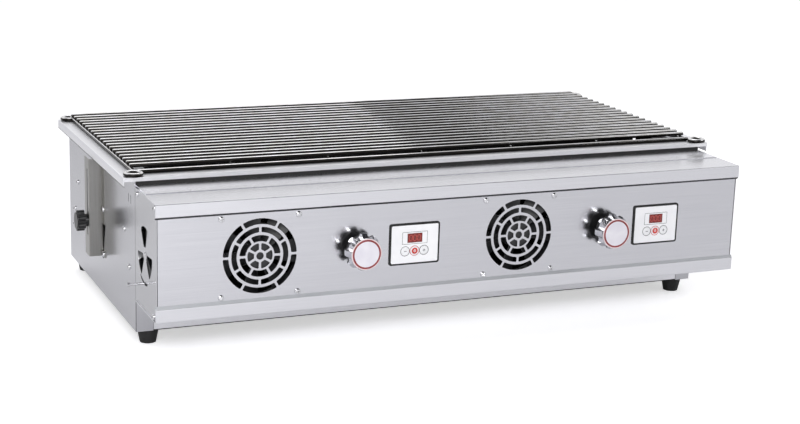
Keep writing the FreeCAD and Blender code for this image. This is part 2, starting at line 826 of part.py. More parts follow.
def front_panel():
    """The panel between the lips, drawn from the middle of the first vent."""
    panel = new_body("front_panel", (module_x(0, S.vent_offset), PANEL, MODULE_Z))
    plate = new_sketch(panel, "panel_plate", "XZ_Plane")
    left = S.sheet + S.panel_gap - S.vent_offset
    right = S.body_length - S.sheet - S.panel_gap - S.vent_offset
    low = S.sheet - S.module_rise
    high = S.console_height - S.sheet - S.module_rise
    draw_outline(plate, [(left, low), (right, low), (right, high), (left, high)])
    pad(panel, plate, S.sheet, reverse=True)

    # Four rings of six slots; the bridges of one ring stand between those of the next
    rings = (
        (S.ring_first_inner, S.ring_first_outer, 60),
        (S.ring_second_inner, S.ring_second_outer, 90),
        (S.ring_third_inner, S.ring_third_outer, 60),
        (S.ring_fourth_inner, S.ring_fourth_outer, 90),
    )
    slots = []
    for index, (inner, outer, middle) in enumerate(rings):
        slot = new_sketch(panel, f"vent_slot_{index}", "XZ_Plane")
        draw_sector(slot, inner, outer, middle, 30, S.bridge / 2, S.slot_corner)
        slots.append(pocket(panel, slot))
    DOC.recompute()
    grille = panel.newObject("PartDesign::MultiTransform", "vent_grilles")
    grille.Originals = slots
    around = panel.newObject("PartDesign::PolarPattern", "slots_around")
    around.Axis = (slots[0].Profile[0], ["N_Axis"])
    around.Angle = 360
    around.Occurrences = 6
    across = panel.newObject("PartDesign::LinearPattern", "vents_across")
    across.Direction = (slots[0].Profile[0], ["H_Axis"])
    bind(across, "Length", S.module_pitch)
    across.Occurrences = 2
    grille.Transformations = [around, across]
    panel.Tip = grille

    # The other holes of a module: vent centre, fan screws, knob stem and regulator cut-out
    holes = new_sketch(panel, "module_holes", "XZ_Plane")
    draw_circle(holes, (0, 0), S.vent_hub)
    for corner in four_corners(as_size(0), as_size(0), FAN_SCREW):
        draw_circle(holes, corner, SCREW_HOLE)
    draw_circle(holes, (S.knob_offset - S.vent_offset, 0), S.stem_radius + 2)
    middle = S.regulator_offset - S.vent_offset
    half_width = S.regulator_width / 2 - S.regulator_margin
    half_height = S.regulator_height / 2 - S.regulator_margin
    draw_outline(holes, [(middle - half_width, -half_height), (middle + half_width, -half_height),
                         (middle + half_width, half_height), (middle - half_width, half_height)])
    hole_pocket = pocket(panel, holes)
    DOC.recompute()
    repeat = panel.newObject("PartDesign::LinearPattern", "holes_across")
    repeat.Originals = [hole_pocket]
    repeat.Direction = (holes, ["H_Axis"])
    bind(repeat, "Length", S.module_pitch)
    repeat.Occurrences = 2
    panel.Tip = repeat
    node("console_front_panel", panel)


def end_plate(name, x, openings):
    """A plain end of the console, drawn from the shutter's rivet."""
    plate = new_body(name, (x, LIP + S.shutter_setback, CONSOLE_FLOOR + S.shutter_rise))
    outline = new_sketch(plate, name + "_outline", "YZ_Plane")
    front = S.lip_proud - S.shutter_setback
    rear = S.console_depth - S.shutter_setback
    low = S.sheet - S.shutter_rise
    high = S.console_height - S.sheet - S.shutter_rise
    draw_outline(outline, [(front, low), (rear, low), (rear, high), (front, high)])
    pad(plate, outline, S.sheet)
    holes = new_sketch(plate, name + "_holes", "YZ_Plane")
    for y, z in END_SCREWS:
        draw_circle(holes, (y - LIP - S.shutter_setback, z - CONSOLE_FLOOR - S.shutter_rise), SCREW_HOLE)
    openings(holes)
    pocket(plate, holes, reverse=True)
    return plate


def petals(plate, turn):
    """Three petal openings round the rivet."""
    petal = new_sketch(plate, plate.Name + "_petal", "YZ_Plane")
    draw_sector(petal, S.petal_inner, S.petal_outer, turn, SIZES["petal_angle"] / 2, 0, S.petal_corner)
    opening = pocket(plate, petal, reverse=True)
    DOC.recompute()
    around = plate.newObject("PartDesign::PolarPattern", plate.Name + "_petals")
    around.Originals = [opening]
    around.Axis = (petal, ["N_Axis"])
    around.Angle = 360
    around.Occurrences = 3
    plate.Tip = around


def console_ends():
    def left_openings(holes):
        draw_circle(holes, (0, 0), S.screw_shank + S.screw_gap)
        half_slot = S.lever_radius + S.shutter_gap * 2
        draw_sector(holes, S.lever_orbit - half_slot, S.lever_orbit + half_slot, SIZES["lever_slot_middle"],
                    SIZES["lever_slot_half"], 0, S.lever_radius)

    left = end_plate("left_end", LEFT, left_openings)
    petals(left, SIZES["petal_middle"])
    node("console_left_end", left)

    def right_openings(holes):
        draw_circle(holes, (S.manifold_setback - S.shutter_setback, S.module_rise - S.shutter_rise),
                    S.manifold_radius + 0.3)
        front = S.inlet_setback - S.shutter_setback - S.inlet_width / 2 - S.shutter_gap
        low = S.inlet_rise - S.shutter_rise - S.inlet_height / 2 - S.shutter_gap
        rear = front + S.inlet_width + S.shutter_gap * 2
        high = low + S.inlet_height + S.shutter_gap * 2
        draw_outline(holes, [(front, low), (rear, low), (rear, high), (front, high)])

    node("console_right_end", end_plate("right_end", RIGHT - S.sheet, right_openings))


def air_shutter():
    """A disc with the same petals, turned by a pin through the arc slot of the end plate."""
    y = LIP + S.shutter_setback
    z = CONSOLE_FLOOR + S.shutter_rise
    disc = new_body("disc", (LEFT + S.sheet + S.shutter_gap, y, z))
    outline = new_sketch(disc, "disc_outline", "YZ_Plane")
    draw_circle(outline, (0, 0), S.shutter_disc)
    draw_circle(outline, (0, 0), S.screw_shank + S.screw_gap)
    pad(disc, outline, S.shutter_thickness)
    # At rest the disc's petals stand a little behind the plate's, so that each opening is partly covered
    petals(disc, SIZES["petal_middle"] - SIZES["shutter_turn"])
    turn = math.radians(SIZES["lever_rest"])
    tip = (LEFT - S.lever_reach, y + S.lever_orbit * math.cos(turn), z + S.lever_orbit * math.sin(turn))
    pin_end = S.sheet + S.shutter_gap + S.shutter_thickness / 2
    pin = rod("lever_pin", tip, "+x", S.lever_radius, S.lever_reach + pin_end)
    head = rod("lever_pin_head", tip, "+x", S.lever_head, S.lever_head_length)
    node("shutter_disc", join("shutter", [disc, pin, head]))
    tail_x = LEFT + S.sheet + S.shutter_gap * 2 + S.shutter_thickness
    shank = rod("rivet_shank", (LEFT - S.sheet / 2, y, z), "+x", S.screw_shank, S.sheet * 1.5 + tail_x - LEFT)
    outer_head = cone("rivet_head", (LEFT, y, z), "-x", S.rivet_head, S.rivet_head * 0.65, S.rivet_head * 0.4)
    inner_head = rod("rivet_tail", (tail_x, y, z), "+x", S.rivet_head * 0.9, S.sheet)
    node("shutter_rivet", join("rivet", [shank, outer_head, inner_head]))


def fan_frame(side, x):
    """A square frame with a round duct; three struts carry the motor cup at the back."""
    half = S.fan_side / 2
    rear = FAN_FRONT + S.fan_depth
    cup_front = rear - S.fan_cup
    block = box(f"{side}_fan_block", (x - half, FAN_FRONT, MODULE_Z - half),
                (x + half, rear, MODULE_Z + half))
    shell = rounded(f"{side}_fan_block_rounded", block, S.fan_screw_inset, "+y")
    holes = [rod(f"{side}_fan_duct", (x, FAN_FRONT - 1, MODULE_Z), "+y", FAN_BORE, S.fan_depth + 2)]
    for index, (hole_x, hole_z) in enumerate(four_corners(x, MODULE_Z, FAN_SCREW)):
        holes.append(rod(f"{side}_fan_hole_{index}", (hole_x, FAN_FRONT - 1, hole_z), "+y", SCREW_HOLE,
                         S.fan_depth + 2))
    frame = cut(f"{side}_fan_shell", shell, holes)
    cup = rod(f"{side}_motor_cup", (x, cup_front, MODULE_Z), "+y", S.fan_hub, S.fan_cup)
    tube_front = rear - S.fan_bearing_length - S.fan_cup / 2
    tube = rod(f"{side}_bearing_tube", (x, tube_front, MODULE_Z), "+y", S.fan_axle + S.fan_bearing_wall,
               S.fan_bearing_length)
    bore = rod(f"{side}_bearing_bore", (x, tube_front - 1, MODULE_Z), "+y", S.fan_axle + S.fit_gap,
               S.fan_bearing_length + 1)
    struts = []
    for index in range(3):
        strut = add("Part::Box", f"{side}_strut_{index}", Length=FAN_BORE + 1, Width=S.fan_cup,
                    Height=S.strut_width)
        strut.Placement = Placement(Vector(), Rotation(Vector(0, 1, 0), 90 + 120 * index))
        struts.append(place(strut, (x, cup_front, MODULE_Z)))
    whole = join(f"{side}_fan_carrier", [frame, cup, tube] + struts)
    node(f"{side}_fan_frame", cut(f"{side}_fan", whole, [bore]))


def blade_shape():
    """One twisted blade: flat sections from inside the hub to the tip, joined by a loft."""
    root_pitch, tip_pitch = 48, 26
    root_chord, tip_chord = S.blade_root_chord.value, S.blade_tip_chord.value
    half = S.blade_thickness.value / 2
    root_sweep = root_chord / 2 * math.cos(math.radians(root_pitch)) + half
    tip_sweep = tip_chord / 2 * math.cos(math.radians(tip_pitch)) + half
    root = math.sqrt(S.fan_hub.value ** 2 - root_sweep ** 2) - S.fan_hub_wall.value / 2
    tip = math.sqrt((FAN_BORE - S.fan_tip_gap).value ** 2 - tip_sweep ** 2)
    sections = []
    for radius, chord, pitch in ((root, root_chord, root_pitch), (tip, tip_chord, tip_pitch)):
        turn = math.radians(pitch)
        corners = []
        for along, off in ((-1, -1), (1, -1), (1, 1), (-1, 1)):
            sweep = along * chord / 2 * math.cos(turn) - off * half * math.sin(turn)
            depth = along * chord / 2 * math.sin(turn) + off * half * math.cos(turn)
            corners.append(Vector(radius, depth, sweep))
        sections.append(Part.makePolygon(corners + corners[:1]))
    return Part.makeLoft(sections, True, True)


def fan_rotor(side, x):
    """Hub cap, seven blades and the axle that runs in the bearing tube."""
    front = FAN_FRONT + S.fan_rotor_play
    cup_front = FAN_FRONT + S.fan_depth - S.fan_cup
    middle = (front + cup_front) / 2
    blade = blade_shape()
    blades = DOC.addObject("Part::Feature", f"{side}_blades")
    turns = [360 / BLADES * index for index in range(BLADES)]
    blades.Shape = Part.makeCompound([blade.rotated(Vector(), Vector(0, 1, 0), turn) for turn in turns])
    place(blades, (x, middle, MODULE_Z))
    hub = rod(f"{side}_rotor_hub", (x, front, MODULE_Z), "+y", S.fan_hub,
              cup_front - S.fan_rotor_play - front)
    hollow = rod(f"{side}_rotor_hollow", (x, front + S.fan_hub_wall, MODULE_Z), "+y",
                 S.fan_hub - S.fan_hub_wall, S.fan_depth)
    cap = cut(f"{side}_rotor_cap", hub, [hollow])
    axle_front = front + S.fan_hub_wall / 2
    axle = rod(f"{side}_rotor_axle", (x, axle_front, MODULE_Z), "+y", S.fan_axle, cup_front - axle_front)
    node(f"{side}_fan_rotor", join(f"{side}_rotor", [cap, axle, blades], refine=False))


def gas_train():
    """One manifold feeds both valves; a pipe goes from each valve through the inner front wall."""
    tube_y = LIP + S.manifold_setback
    start = module_x(0, S.knob_offset) - S.manifold_overrun
    end = RIGHT + S.manifold_reach
    tube = rod("manifold_tube", (start, tube_y, MODULE_Z), "+x", S.manifold_radius, end - start)
    bore = rod("manifold_bore", (start + S.manifold_wall, tube_y, MODULE_Z), "+x",
               S.manifold_radius - S.manifold_wall, end - start)
    pipe = cut("manifold_pipe", tube, [bore])
    lugs = []
    half_lug = S.lug_height / 2
    for index, x in enumerate((start + S.lug_inset, RIGHT - S.lug_inset * 2)):
        lugs.append(box(f"manifold_lug_{index}", (x, tube_y + S.manifold_radius - 1, MODULE_Z - half_lug),
                        (x + S.lug_width, FRONT + S.sheet, MODULE_Z + half_lug)))
    node("gas_manifold", join("manifold", [pipe] + lugs))

    nut = add("Part::Prism", "inlet_nut", Circumradius=S.manifold_radius + 3, Height=S.inlet_nut_height)
    nut.Polygon = 6
    aimed(nut, "+x", (end, tube_y, MODULE_Z))
    tail_start = end + S.inlet_nut_height
    tail = rod("inlet_tail", (tail_start, tube_y, MODULE_Z), "+x", S.hose_tail_radius, S.hose_tail_length)
    barb_length = S.hose_barb_pitch - 0.5
    barbs = [cone(f"inlet_barb_{index}", (tail_start + 3 + S.hose_barb_pitch * index, tube_y, MODULE_Z), "+x",
                  S.hose_barb_radius, S.hose_tail_radius, barb_length) for index in range(3)]
    hole = rod("inlet_hole", (end - 1, tube_y, MODULE_Z), "+x", S.hose_bore,
               S.inlet_nut_height + S.hose_tail_length + 2)
    node("gas_inlet_nipple", cut("inlet", join("inlet_body", [nut, tail] + barbs), [hole]))

    pipes = []
    for index, side in enumerate(SIDES):
        x = module_x(index, S.knob_offset)
        half = S.valve_width / 2
        valve_front = FAN_FRONT + S.valve_nose
        valve_rear = valve_front + S.valve_depth
        block = box(f"{side}_valve_block", (x - half, valve_front, MODULE_Z - half),
                    (x + half, valve_rear, MODULE_Z + half))
        body = rounded(f"{side}_valve_block_rounded", block, S.valve_nose, "+y")
        nose = rod(f"{side}_valve_nose", (x, FAN_FRONT, MODULE_Z), "+y", S.stem_radius + S.valve_nose_wall,
                   S.valve_nose + 1)
        spigot = rod(f"{side}_valve_spigot", (x, valve_rear, MODULE_Z), "+y", S.valve_spigot,
                     tube_y - S.manifold_radius + 1 - valve_rear)
        stem_hole = rod(f"{side}_stem_hole", (x, PANEL, MODULE_Z), "+y", S.stem_radius + S.fit_gap,
                        S.stem_reach + S.manifold_wall)
        whole = join(f"{side}_valve_body", [body, nose, spigot])
        node(f"{side}_gas_valve", cut(f"{side}_valve", whole, [stem_hole]))

        # Riser, quarter bend and run to the back, ending in a hose tail inside the body
        feed_y = valve_front + S.valve_depth / 2
        riser = rod(f"{side}_riser", (x, feed_y, MODULE_Z + half), "+z", S.feed_radius, S.feed_rise - half)
        elbow = add("Part::Torus", f"{side}_elbow", Radius1=S.feed_bend, Radius2=S.feed_radius)
        elbow.Angle3 = 90
        upright = Rotation(Vector(0, -1, 0), Vector(0, 0, 1), Vector(-1, 0, 0), "ZXY")
        elbow.Placement = Placement(Vector(), upright)
        place(elbow, (x, feed_y + S.feed_bend, MODULE_Z + S.feed_rise))
        run = rod(f"{side}_run", (x, feed_y + S.feed_bend, FEED_Z), "+y", S.feed_radius,
                  FRONT + S.feed_reach - feed_y - S.feed_bend)
        pipes.append(join(f"{side}_feed_pipe", [riser, elbow, run]))
    node("feed_pipes", group("feeds", pipes))


def gas_knob(side, x):
    """A turned knob: wide at the back, drawn in to a collar, with a low dome, fluted all round."""
    back = -S.knob_gap
    face = -S.knob_reach - S.lip_proud
    section = [
        (0, back),
        (S.knob_radius - S.knob_edge, back),
        (S.knob_radius, back - S.knob_edge),
        (S.knob_radius, back - S.knob_band),
        (S.knob_neck, face + S.knob_collar),
        (S.knob_neck, face + S.knob_edge * 2),
        (S.knob_neck - S.knob_edge, face + S.knob_edge),
        (S.knob_neck * 0.6, face + S.knob_edge * 0.4),
        (S.knob_neck * 0.3, face + S.knob_edge * 0.1),
        (0, face),
    ]
    knob = turned(f"{side}_knob", section, (x, PANEL, MODULE_Z))
    DOC.recompute()
    flute = new_sketch(knob, f"{side}_flute", "XZ_Plane")
    orbit = S.knob_radius + S.knob_flute * 0.35
    half_pitch = math.pi / SCALLOPS
    draw_circle(flute, (orbit * math.sin(half_pitch), orbit * math.cos(half_pitch)), S.knob_flute)
    groove = knob.newObject("PartDesign::Pocket", f"{side}_flute_pocket")
    groove.Profile = flute
    groove.Type = "Length"
    groove.Reversed = True
    bind(groove, "Length", S.knob_reach + S.lip_proud - S.knob_collar)
    DOC.recompute()
    around = knob.newObject("PartDesign::PolarPattern", f"{side}_flutes")
    around.Originals = [groove]
    around.Axis = (flute, ["N_Axis"])
    around.Angle = 360
    around.Occurrences = SCALLOPS
    knob.Tip = around
    socket = rod(f"{side}_knob_socket", (x, PANEL, MODULE_Z), "-y", S.stem_radius + S.fit_gap,
                 S.stem_reach + S.knob_flute)
    node(f"{side}_gas_knob", cut(f"{side}_knob_bored", knob, [socket]))
    stem = rod(f"{side}_stem", (x, PANEL + S.stem_reach, MODULE_Z), "-y", S.stem_radius, S.stem_reach * 2)
    node(f"{side}_valve_stem", stem)


def regulator(side, x):
    """A black case pushed through the panel, with a bezel, a white face, a display and three buttons."""
    half_width = S.regulator_width / 2
    half_height = S.regulator_height / 2
    face = PANEL - S.regulator_bezel
    plate = box(f"{side}_bezel_plate", (x - half_width, face, MODULE_Z - half_height),
                (x + half_width, PANEL, MODULE_Z + half_height))
    bezel = rounded(f"{side}_bezel", plate, S.regulator_corner, "+y")
    inner_width = half_width - S.regulator_margin - S.screw_gap
    inner_height = half_height - S.regulator_margin - S.screw_gap
    case = box(f"{side}_case_body", (x - inner_width, PANEL, MODULE_Z - inner_height),
               (x + inner_width, PANEL + S.regulator_depth, MODULE_Z + inner_height))
    label_width = half_width - S.regulator_border
    label_height = half_height - S.regulator_border
    label_back = face + S.label_thickness
    label_low = (x - label_width, face, MODULE_Z - label_height)
    label_high = (x + label_width, label_back, MODULE_Z + label_height)
    label_corner = S.regulator_corner - S.regulator_border / 2
    recess_block = box(f"{side}_label_recess_block", (label_low[0], face - 1, label_low[2]), label_high)
    recess = rounded(f"{side}_label_recess", recess_block, label_corner, "+y")
    display_low = (x - S.display_width / 2, face - 1, MODULE_Z + S.display_rise - S.display_height / 2)
    display_high = (x + S.display_width / 2, label_back + 1, MODULE_Z + S.display_rise + S.display_height / 2)
    button_z = MODULE_Z - S.button_drop
    button_back = face - S.button_proud + S.button_height
    spots = [x - S.button_pitch, x, x + S.button_pitch]
    wells = [rod(f"{side}_button_well_{index}", (spot, face - 1, button_z), "+y",
                 S.button_radius + S.button_gap, button_back + S.button_travel + 1 - face)
             for index, spot in enumerate(spots)]
    window_hole = box(f"{side}_window_hole", display_low, display_high)
    case_cut = cut(f"{side}_case", join(f"{side}_case_whole", [bezel, case]), [recess, window_hole] + wells)
    node(f"{side}_regulator_case", case_cut)
    label_plate = box(f"{side}_label_plate", label_low, label_high)
    label = rounded(f"{side}_label_rounded", label_plate, label_corner, "+y")
    label_wells = [rod(f"{side}_label_well_{index}", (spot, face - 1, button_z), "+y",
                       S.button_radius + S.button_gap, S.button_height) for index, spot in enumerate(spots)]
    label_window = box(f"{side}_label_window", display_low, display_high)
    node(f"{side}_regulator_face", cut(f"{side}_label", label, [label_window] + label_wells))
    window_low = (display_low[0], face, display_low[2])
    node(f"{side}_display_window", box(f"{side}_window", window_low, display_high))
    for name, spot in zip(("minus", "power", "plus"), spots):
        cap = rod(f"{side}_{name}_cap", (spot, face - S.button_proud, button_z), "+y", S.button_radius,
                  S.button_height)
        node(f"{side}_{name}_button", cap)


def power_inlet():
    """A flanged inlet in the right end of the console, with three flat pins in its well."""
    y = LIP + S.inlet_setback
    z = CONSOLE_FLOOR + S.inlet_rise
    half_width = S.inlet_width / 2
    half_height = S.inlet_height / 2
    ear = S.inlet_flange_side
    plate = box("inlet_flange", (RIGHT, y - half_width - ear, z - half_height - ear / 2),
                (RIGHT + S.inlet_flange_thickness, y + half_width + ear, z + half_height + ear / 2))
    flange = rounded("inlet_flange_rounded", plate, S.inlet_flange_thickness, "+x")
    shell = box("inlet_shell", (RIGHT - S.inlet_depth, y - half_width, z - half_height),
                (RIGHT, y + half_width, z + half_height))
    wall = S.inlet_wall
    well = box("inlet_well", (RIGHT - S.inlet_depth + wall, y - half_width + wall, z - half_height + wall),
               (RIGHT + S.inlet_flange_thickness + 1, y + half_width - wall, z + half_height - wall))
    pins = []
    reach = S.inlet_width / 4.5
    lift = S.inlet_height / 7
    for index, (across, up) in enumerate(((-reach, -lift), (reach, -lift), (as_size(0), lift))):
        pins.append(box(f"inlet_pin_{index}",
                        (RIGHT - S.inlet_depth + wall / 2, y + across - wall, z + up - wall / 2),
                        (RIGHT - 1, y + across + wall, z + up + wall / 2)))
    housing = cut("inlet_housing", join("inlet_casing", [flange, shell]), [well])
    node("power_inlet", join("inlet_socket", [housing] + pins))


def height_brackets():
    """A folded strip on each side with a long slot for the clamp knob's stud."""
    reach = S.bracket_reach
    section = [
        (0, -S.bracket_foot),
        (0, S.sheet),
        (S.sheet - reach, S.sheet),
        (S.sheet - reach, S.bracket_flange),
        (-reach, S.bracket_flange),
        (-reach, 0),
        (-S.sheet, 0),
        (-S.sheet, -S.bracket_foot),
    ]
    web_y = FRONT + S.bracket_setback
    low = CONSOLE_FLOOR + S.bracket_start
    strip = folded("bracket", "XY_Plane", section, S.bracket_end - S.bracket_start, (LEFT, web_y, low))
    relief = box("foot_relief",
                 (LEFT - S.sheet - 1, web_y - S.bracket_foot - 1, CONSOLE_FLOOR + S.bracket_relief_start),
                 (LEFT + 1, web_y, CONSOLE_FLOOR + S.bracket_relief_end))
    slot_y = FRONT + S.clamp_setback
    half = S.clamp_stud + S.clamp_gap
    outside = LEFT - reach - 1
    slot_low = CONSOLE_FLOOR + S.slot_start + half
    slot_high = CONSOLE_FLOOR + S.slot_end - half
    tools = [
        relief,
        box("clamp_slot", (outside, slot_y - half, slot_low),
            (outside + S.sheet + 2, slot_y + half, slot_high)),
        rod("clamp_slot_foot", (outside, slot_y, slot_low), "+x", half, S.sheet + 2),
        rod("clamp_slot_head", (outside, slot_y, slot_high), "+x", half, S.sheet + 2),
    ]
    for index, (y, z) in enumerate(BRACKET_SCREWS):
        tools.append(rod(f"bracket_hole_{index}", (LEFT - S.sheet - 1, y, z), "+x", SCREW_HOLE, S.sheet + 2))
    left = node("left_height_bracket", cut("left_bracket", strip, tools))
    node("right_height_bracket", mirrored("right_bracket", left))


def clamp_knobs():
    """A lobed black knob with a stud that goes through the bracket's slot into the carriage's lug."""
    y = FRONT + S.clamp_setback
    z = CONSOLE_FLOOR + S.clamp_rise
    face = LEFT - S.bracket_reach - S.clamp_gap
    grip = face - S.clamp_boss
    grip_depth = S.clamp_depth - S.clamp_boss - S.clamp_gap
    lobe = S.clamp_radius * 0.3
    orbit = S.clamp_radius - lobe
    boss = rod("clamp_boss_bar", (face, y, z), "-x", S.clamp_radius * 0.6, S.clamp_boss)
    core = rod("clamp_core", (grip, y, z), "-x", S.clamp_radius - lobe * 0.7, grip_depth)
    lobes = []
    for index in range(6):
        turn = math.radians(60 * index)
        spot = (grip, y + orbit * math.sin(turn), z + orbit * math.cos(turn))
        lobes.append(rod(f"clamp_lobe_{index}", spot, "-x", lobe, grip_depth - 1))
    stud = rod("clamp_stud_bar", (face - 1, y, z), "+x", S.clamp_stud, S.clamp_stud_reach)
    left = node("left_clamp_knob", join("left_clamp", [boss, core, stud] + lobes))
    node("right_clamp_knob", mirrored("right_clamp", left))


def burner_frame():
    """Two rails between two end plates; from each plate a lug goes out through the side panel's slot."""
    front = FRONT + S.carriage_front
    rear = FRONT + S.carriage_rear
    plate_out = LEFT + S.carriage_side
    plate_in = plate_out + S.sheet
    y = FRONT + S.clamp_setback
    z = CONSOLE_FLOOR + S.clamp_rise
    pieces = []
    for name, low_y, wall_y in (("front", front, front), ("rear", rear - S.rail_width, rear - S.sheet)):
        pieces.append(box(f"{name}_rail", (plate_out, low_y, CARRIAGE_FLOOR),
                          (-plate_out, low_y + S.rail_width, RAIL_TOP)))
        pieces.append(box(f"{name}_rail_wall", (plate_out, wall_y, CARRIAGE_FLOOR),
                          (-plate_out, wall_y + S.sheet, RAIL_TOP + S.rail_wall)))
    lug_y = FRONT + S.bracket_setback + S.sheet + S.lug_play
    lug_end = lug_y + S.lug_thickness
    nut_out = LEFT - S.bracket_reach + S.sheet + S.clamp_gap
    nut_in = nut_out + S.lug_thickness
    lug_span = (z - S.lug_half_height, z + S.lug_half_height)
    holes = []
    for sign, side, inwards in ((1, "left", "+x"), (-1, "right", "-x")):
        pieces.append(box_on_side(f"{side}_carriage_plate", sign, (plate_out, plate_in), (front, rear),
                                  (CARRIAGE_FLOOR, z + S.lug_half_height)))
        pieces.append(box_on_side(f"{side}_lug", sign, (nut_out, plate_in), (lug_y, lug_end), lug_span))
        pieces.append(box_on_side(f"{side}_nut_plate", sign, (nut_out, nut_in),
                                  (lug_y, lug_y + S.nut_plate), lug_span))
        holes.append(rod(f"{side}_nut_hole", ((nut_out - 1) * sign, y, z), inwards, S.clamp_stud + S.fit_gap,
                         S.lug_thickness + 2))
        tube_room = S.bell_radius + S.tube_clearance
        x = -BURNER_X * sign
        holes.append(box(f"{side}_tube_notch", (x - tube_room, front - 1, RAIL_TOP),
                         (x + tube_room, front + S.sheet + 1, RAIL_TOP + S.rail_wall + 1)))
    node("burner_frame", cut("carriage_drilled", join("carriage", pieces), holes))


def burner(side, x):
    """A pressed box with a mixing tube in front; tiles close its top and a roof keeps fat off them."""
    half_length = BURNER_LENGTH / 2
    half_width = S.burner_width / 2
    tiles_half = half_length - S.tile_border
    tiles_width = half_width - S.tile_border
    seat_floor = BURNER_TOP - S.tile_thickness - S.sheet

    def around(name, half_x, half_y, low, high):
        return box(f"{side}_{name}", (x - half_x, BURNER_Y - half_y, low),
                   (x + half_x, BURNER_Y + half_y, high))

    pan = around("burner_pan", half_length, half_width, RAIL_TOP, BURNER_TOP)
    hollow = around("burner_hollow", half_length - S.sheet, half_width - S.sheet, RAIL_TOP + S.sheet,
                    BURNER_TOP - S.sheet)
    seat = around("tile_seat", tiles_half + S.sheet, tiles_width + S.sheet, seat_floor, BURNER_TOP)
    mouth = around("burner_mouth", tiles_half, tiles_width, BURNER_TOP - S.tile_thickness, BURNER_TOP + 1)
    chamber = around("burner_chamber", tiles_half - S.tile_ledge, tiles_width - S.tile_ledge, seat_floor - 1,
                     BURNER_TOP)
    tube_start = (x, BURNER_Y - half_width - S.mixing_tube_length, RAIL_TOP + S.mixing_tube_rise)
    tube = rod(f"{side}_mixing_tube", tube_start, "+y", S.mixing_tube, S.mixing_tube_length + S.sheet)
    bell = cone(f"{side}_tube_bell", tube_start, "+y", S.bell_radius, S.mixing_tube, S.bell_length)
    throat = rod(f"{side}_tube_throat", (x, tube_start[1] - 1, tube_start[2]), "+y",
                 S.mixing_tube - S.mixing_tube_wall, S.mixing_tube_length + S.tile_border)
    pressing = rounded(f"{side}_burner_pressing", pan, S.bend_radius, "+x", "+z")
    shell = cut(f"{side}_burner_shell", pressing, [hollow])
    whole = join(f"{side}_burner_body", [shell, seat, tube, bell])
    node(f"{side}_burner", cut(f"{side}_burner_box", whole, [mouth, chamber, throat]))

    tiles = []
    for index in range(TILES):
        low_x = x - tiles_half + TILE_LENGTH * index + S.tile_joint / 2
        tiles.append(box(f"{side}_tile_{index}",
                         (low_x, BURNER_Y - tiles_width, BURNER_TOP - S.tile_thickness),
                         (low_x + TILE_LENGTH - S.tile_joint, BURNER_Y + tiles_width, BURNER_TOP)))

    roof_half = half_width - S.shield_inset
    skin = S.sheet * 1.1
    outline = [
        (-roof_half, 0),
        (-roof_half, skin),
        (0, S.shield_rise),
        (roof_half, skin),
        (roof_half, 0),
        (0, S.shield_rise - skin),
    ]
    eaves = BURNER_TOP + S.shield_lift
    start = x - half_length + S.shield_inset
    end = x + half_length - S.shield_inset
    roof = folded(f"{side}_roof", "YZ_Plane", outline, end - start, (start, BURNER_Y, eaves))
    legs = []
    last = end - S.shield_leg
    for index, (leg_x, flank) in enumerate(((start, -1), (last, -1), (last, 1), (start, 1))):
        leg_y = BURNER_Y + (roof_half - S.sheet / 2) * flank - S.sheet / 2
        legs.append(box(f"{side}_leg_{index}", (leg_x, leg_y, BURNER_TOP),
                        (leg_x + S.shield_leg, leg_y + S.sheet, eaves + S.sheet / 2)))
    node(f"{side}_flame_shield", join(f"{side}_shield", [roof] + legs))
    return tiles


def igniters():
    """A ceramic-sleeved electrode on the front edge of each burner."""
    rods = []
    radius = S.electrode_radius
    for index, sign in enumerate((-1, 1)):
        x = BURNER_X * sign + S.electrode_offset
        y = BURNER_Y - S.burner_width / 2 - radius - 1
        sleeve = rod(f"electrode_sleeve_{index}", (x, y, RAIL_TOP), "+z", radius, S.burner_height - radius)
        clip = box(f"electrode_clip_{index}", (x - radius * 1.5, y, RAIL_TOP + radius * 2.5),
                   (x + radius * 1.5, y + radius + 1, RAIL_TOP + radius * 5))
        tip = rod(f"electrode_tip_{index}", (x, y, BURNER_TOP - radius - 1), "+z", S.electrode_wire,
                  radius * 2)
        rods.append(join(f"electrode_{index}", [sleeve, clip, tip]))
    node("igniter_electrodes", group("electrodes", rods))


def drip_tray():
    """The drawer: a pan with hemmed edges behind a front plate that fills the strip under the console."""
    opening_left = LEFT + S.corner_flange
    pan_left = opening_left + S.tray_side_gap
    pan_front = FRONT + S.sheet
    pan_rear = REAR - S.tray_rear_gap
    low = DECK + S.tray_play
    high = low + S.tray_height
    block = box("tray_block", (pan_left, pan_front, low), (-pan_left, pan_rear, high))
    inside = box("tray_inside", (pan_left + S.tray_wall, pan_front + S.tray_wall, low + S.tray_wall),
                 (-pan_left - S.tray_wall, pan_rear - S.tray_wall, high + 1))
    hem = box("tray_hem_block", (pan_left - S.tray_hem, pan_front, high - S.tray_wall),
              (-pan_left + S.tray_hem, pan_rear + S.tray_hem, high))
    pan = cut("tray_pan", join("tray_form", [block, hem]), [inside])
    plate_left = opening_left + S.tray_front_gap
    plate_top = CONSOLE_FLOOR - S.tray_front_drop
    plate = box("tray_front", (plate_left, FRONT, low), (-plate_left, pan_front, plate_top))
    turn = box("tray_front_turn", (plate_left, FRONT, plate_top - S.tray_wall),
               (-plate_left, FRONT + S.tray_front_hem, plate_top))
    node("drip_tray", join("tray", [pan, plate, turn]))


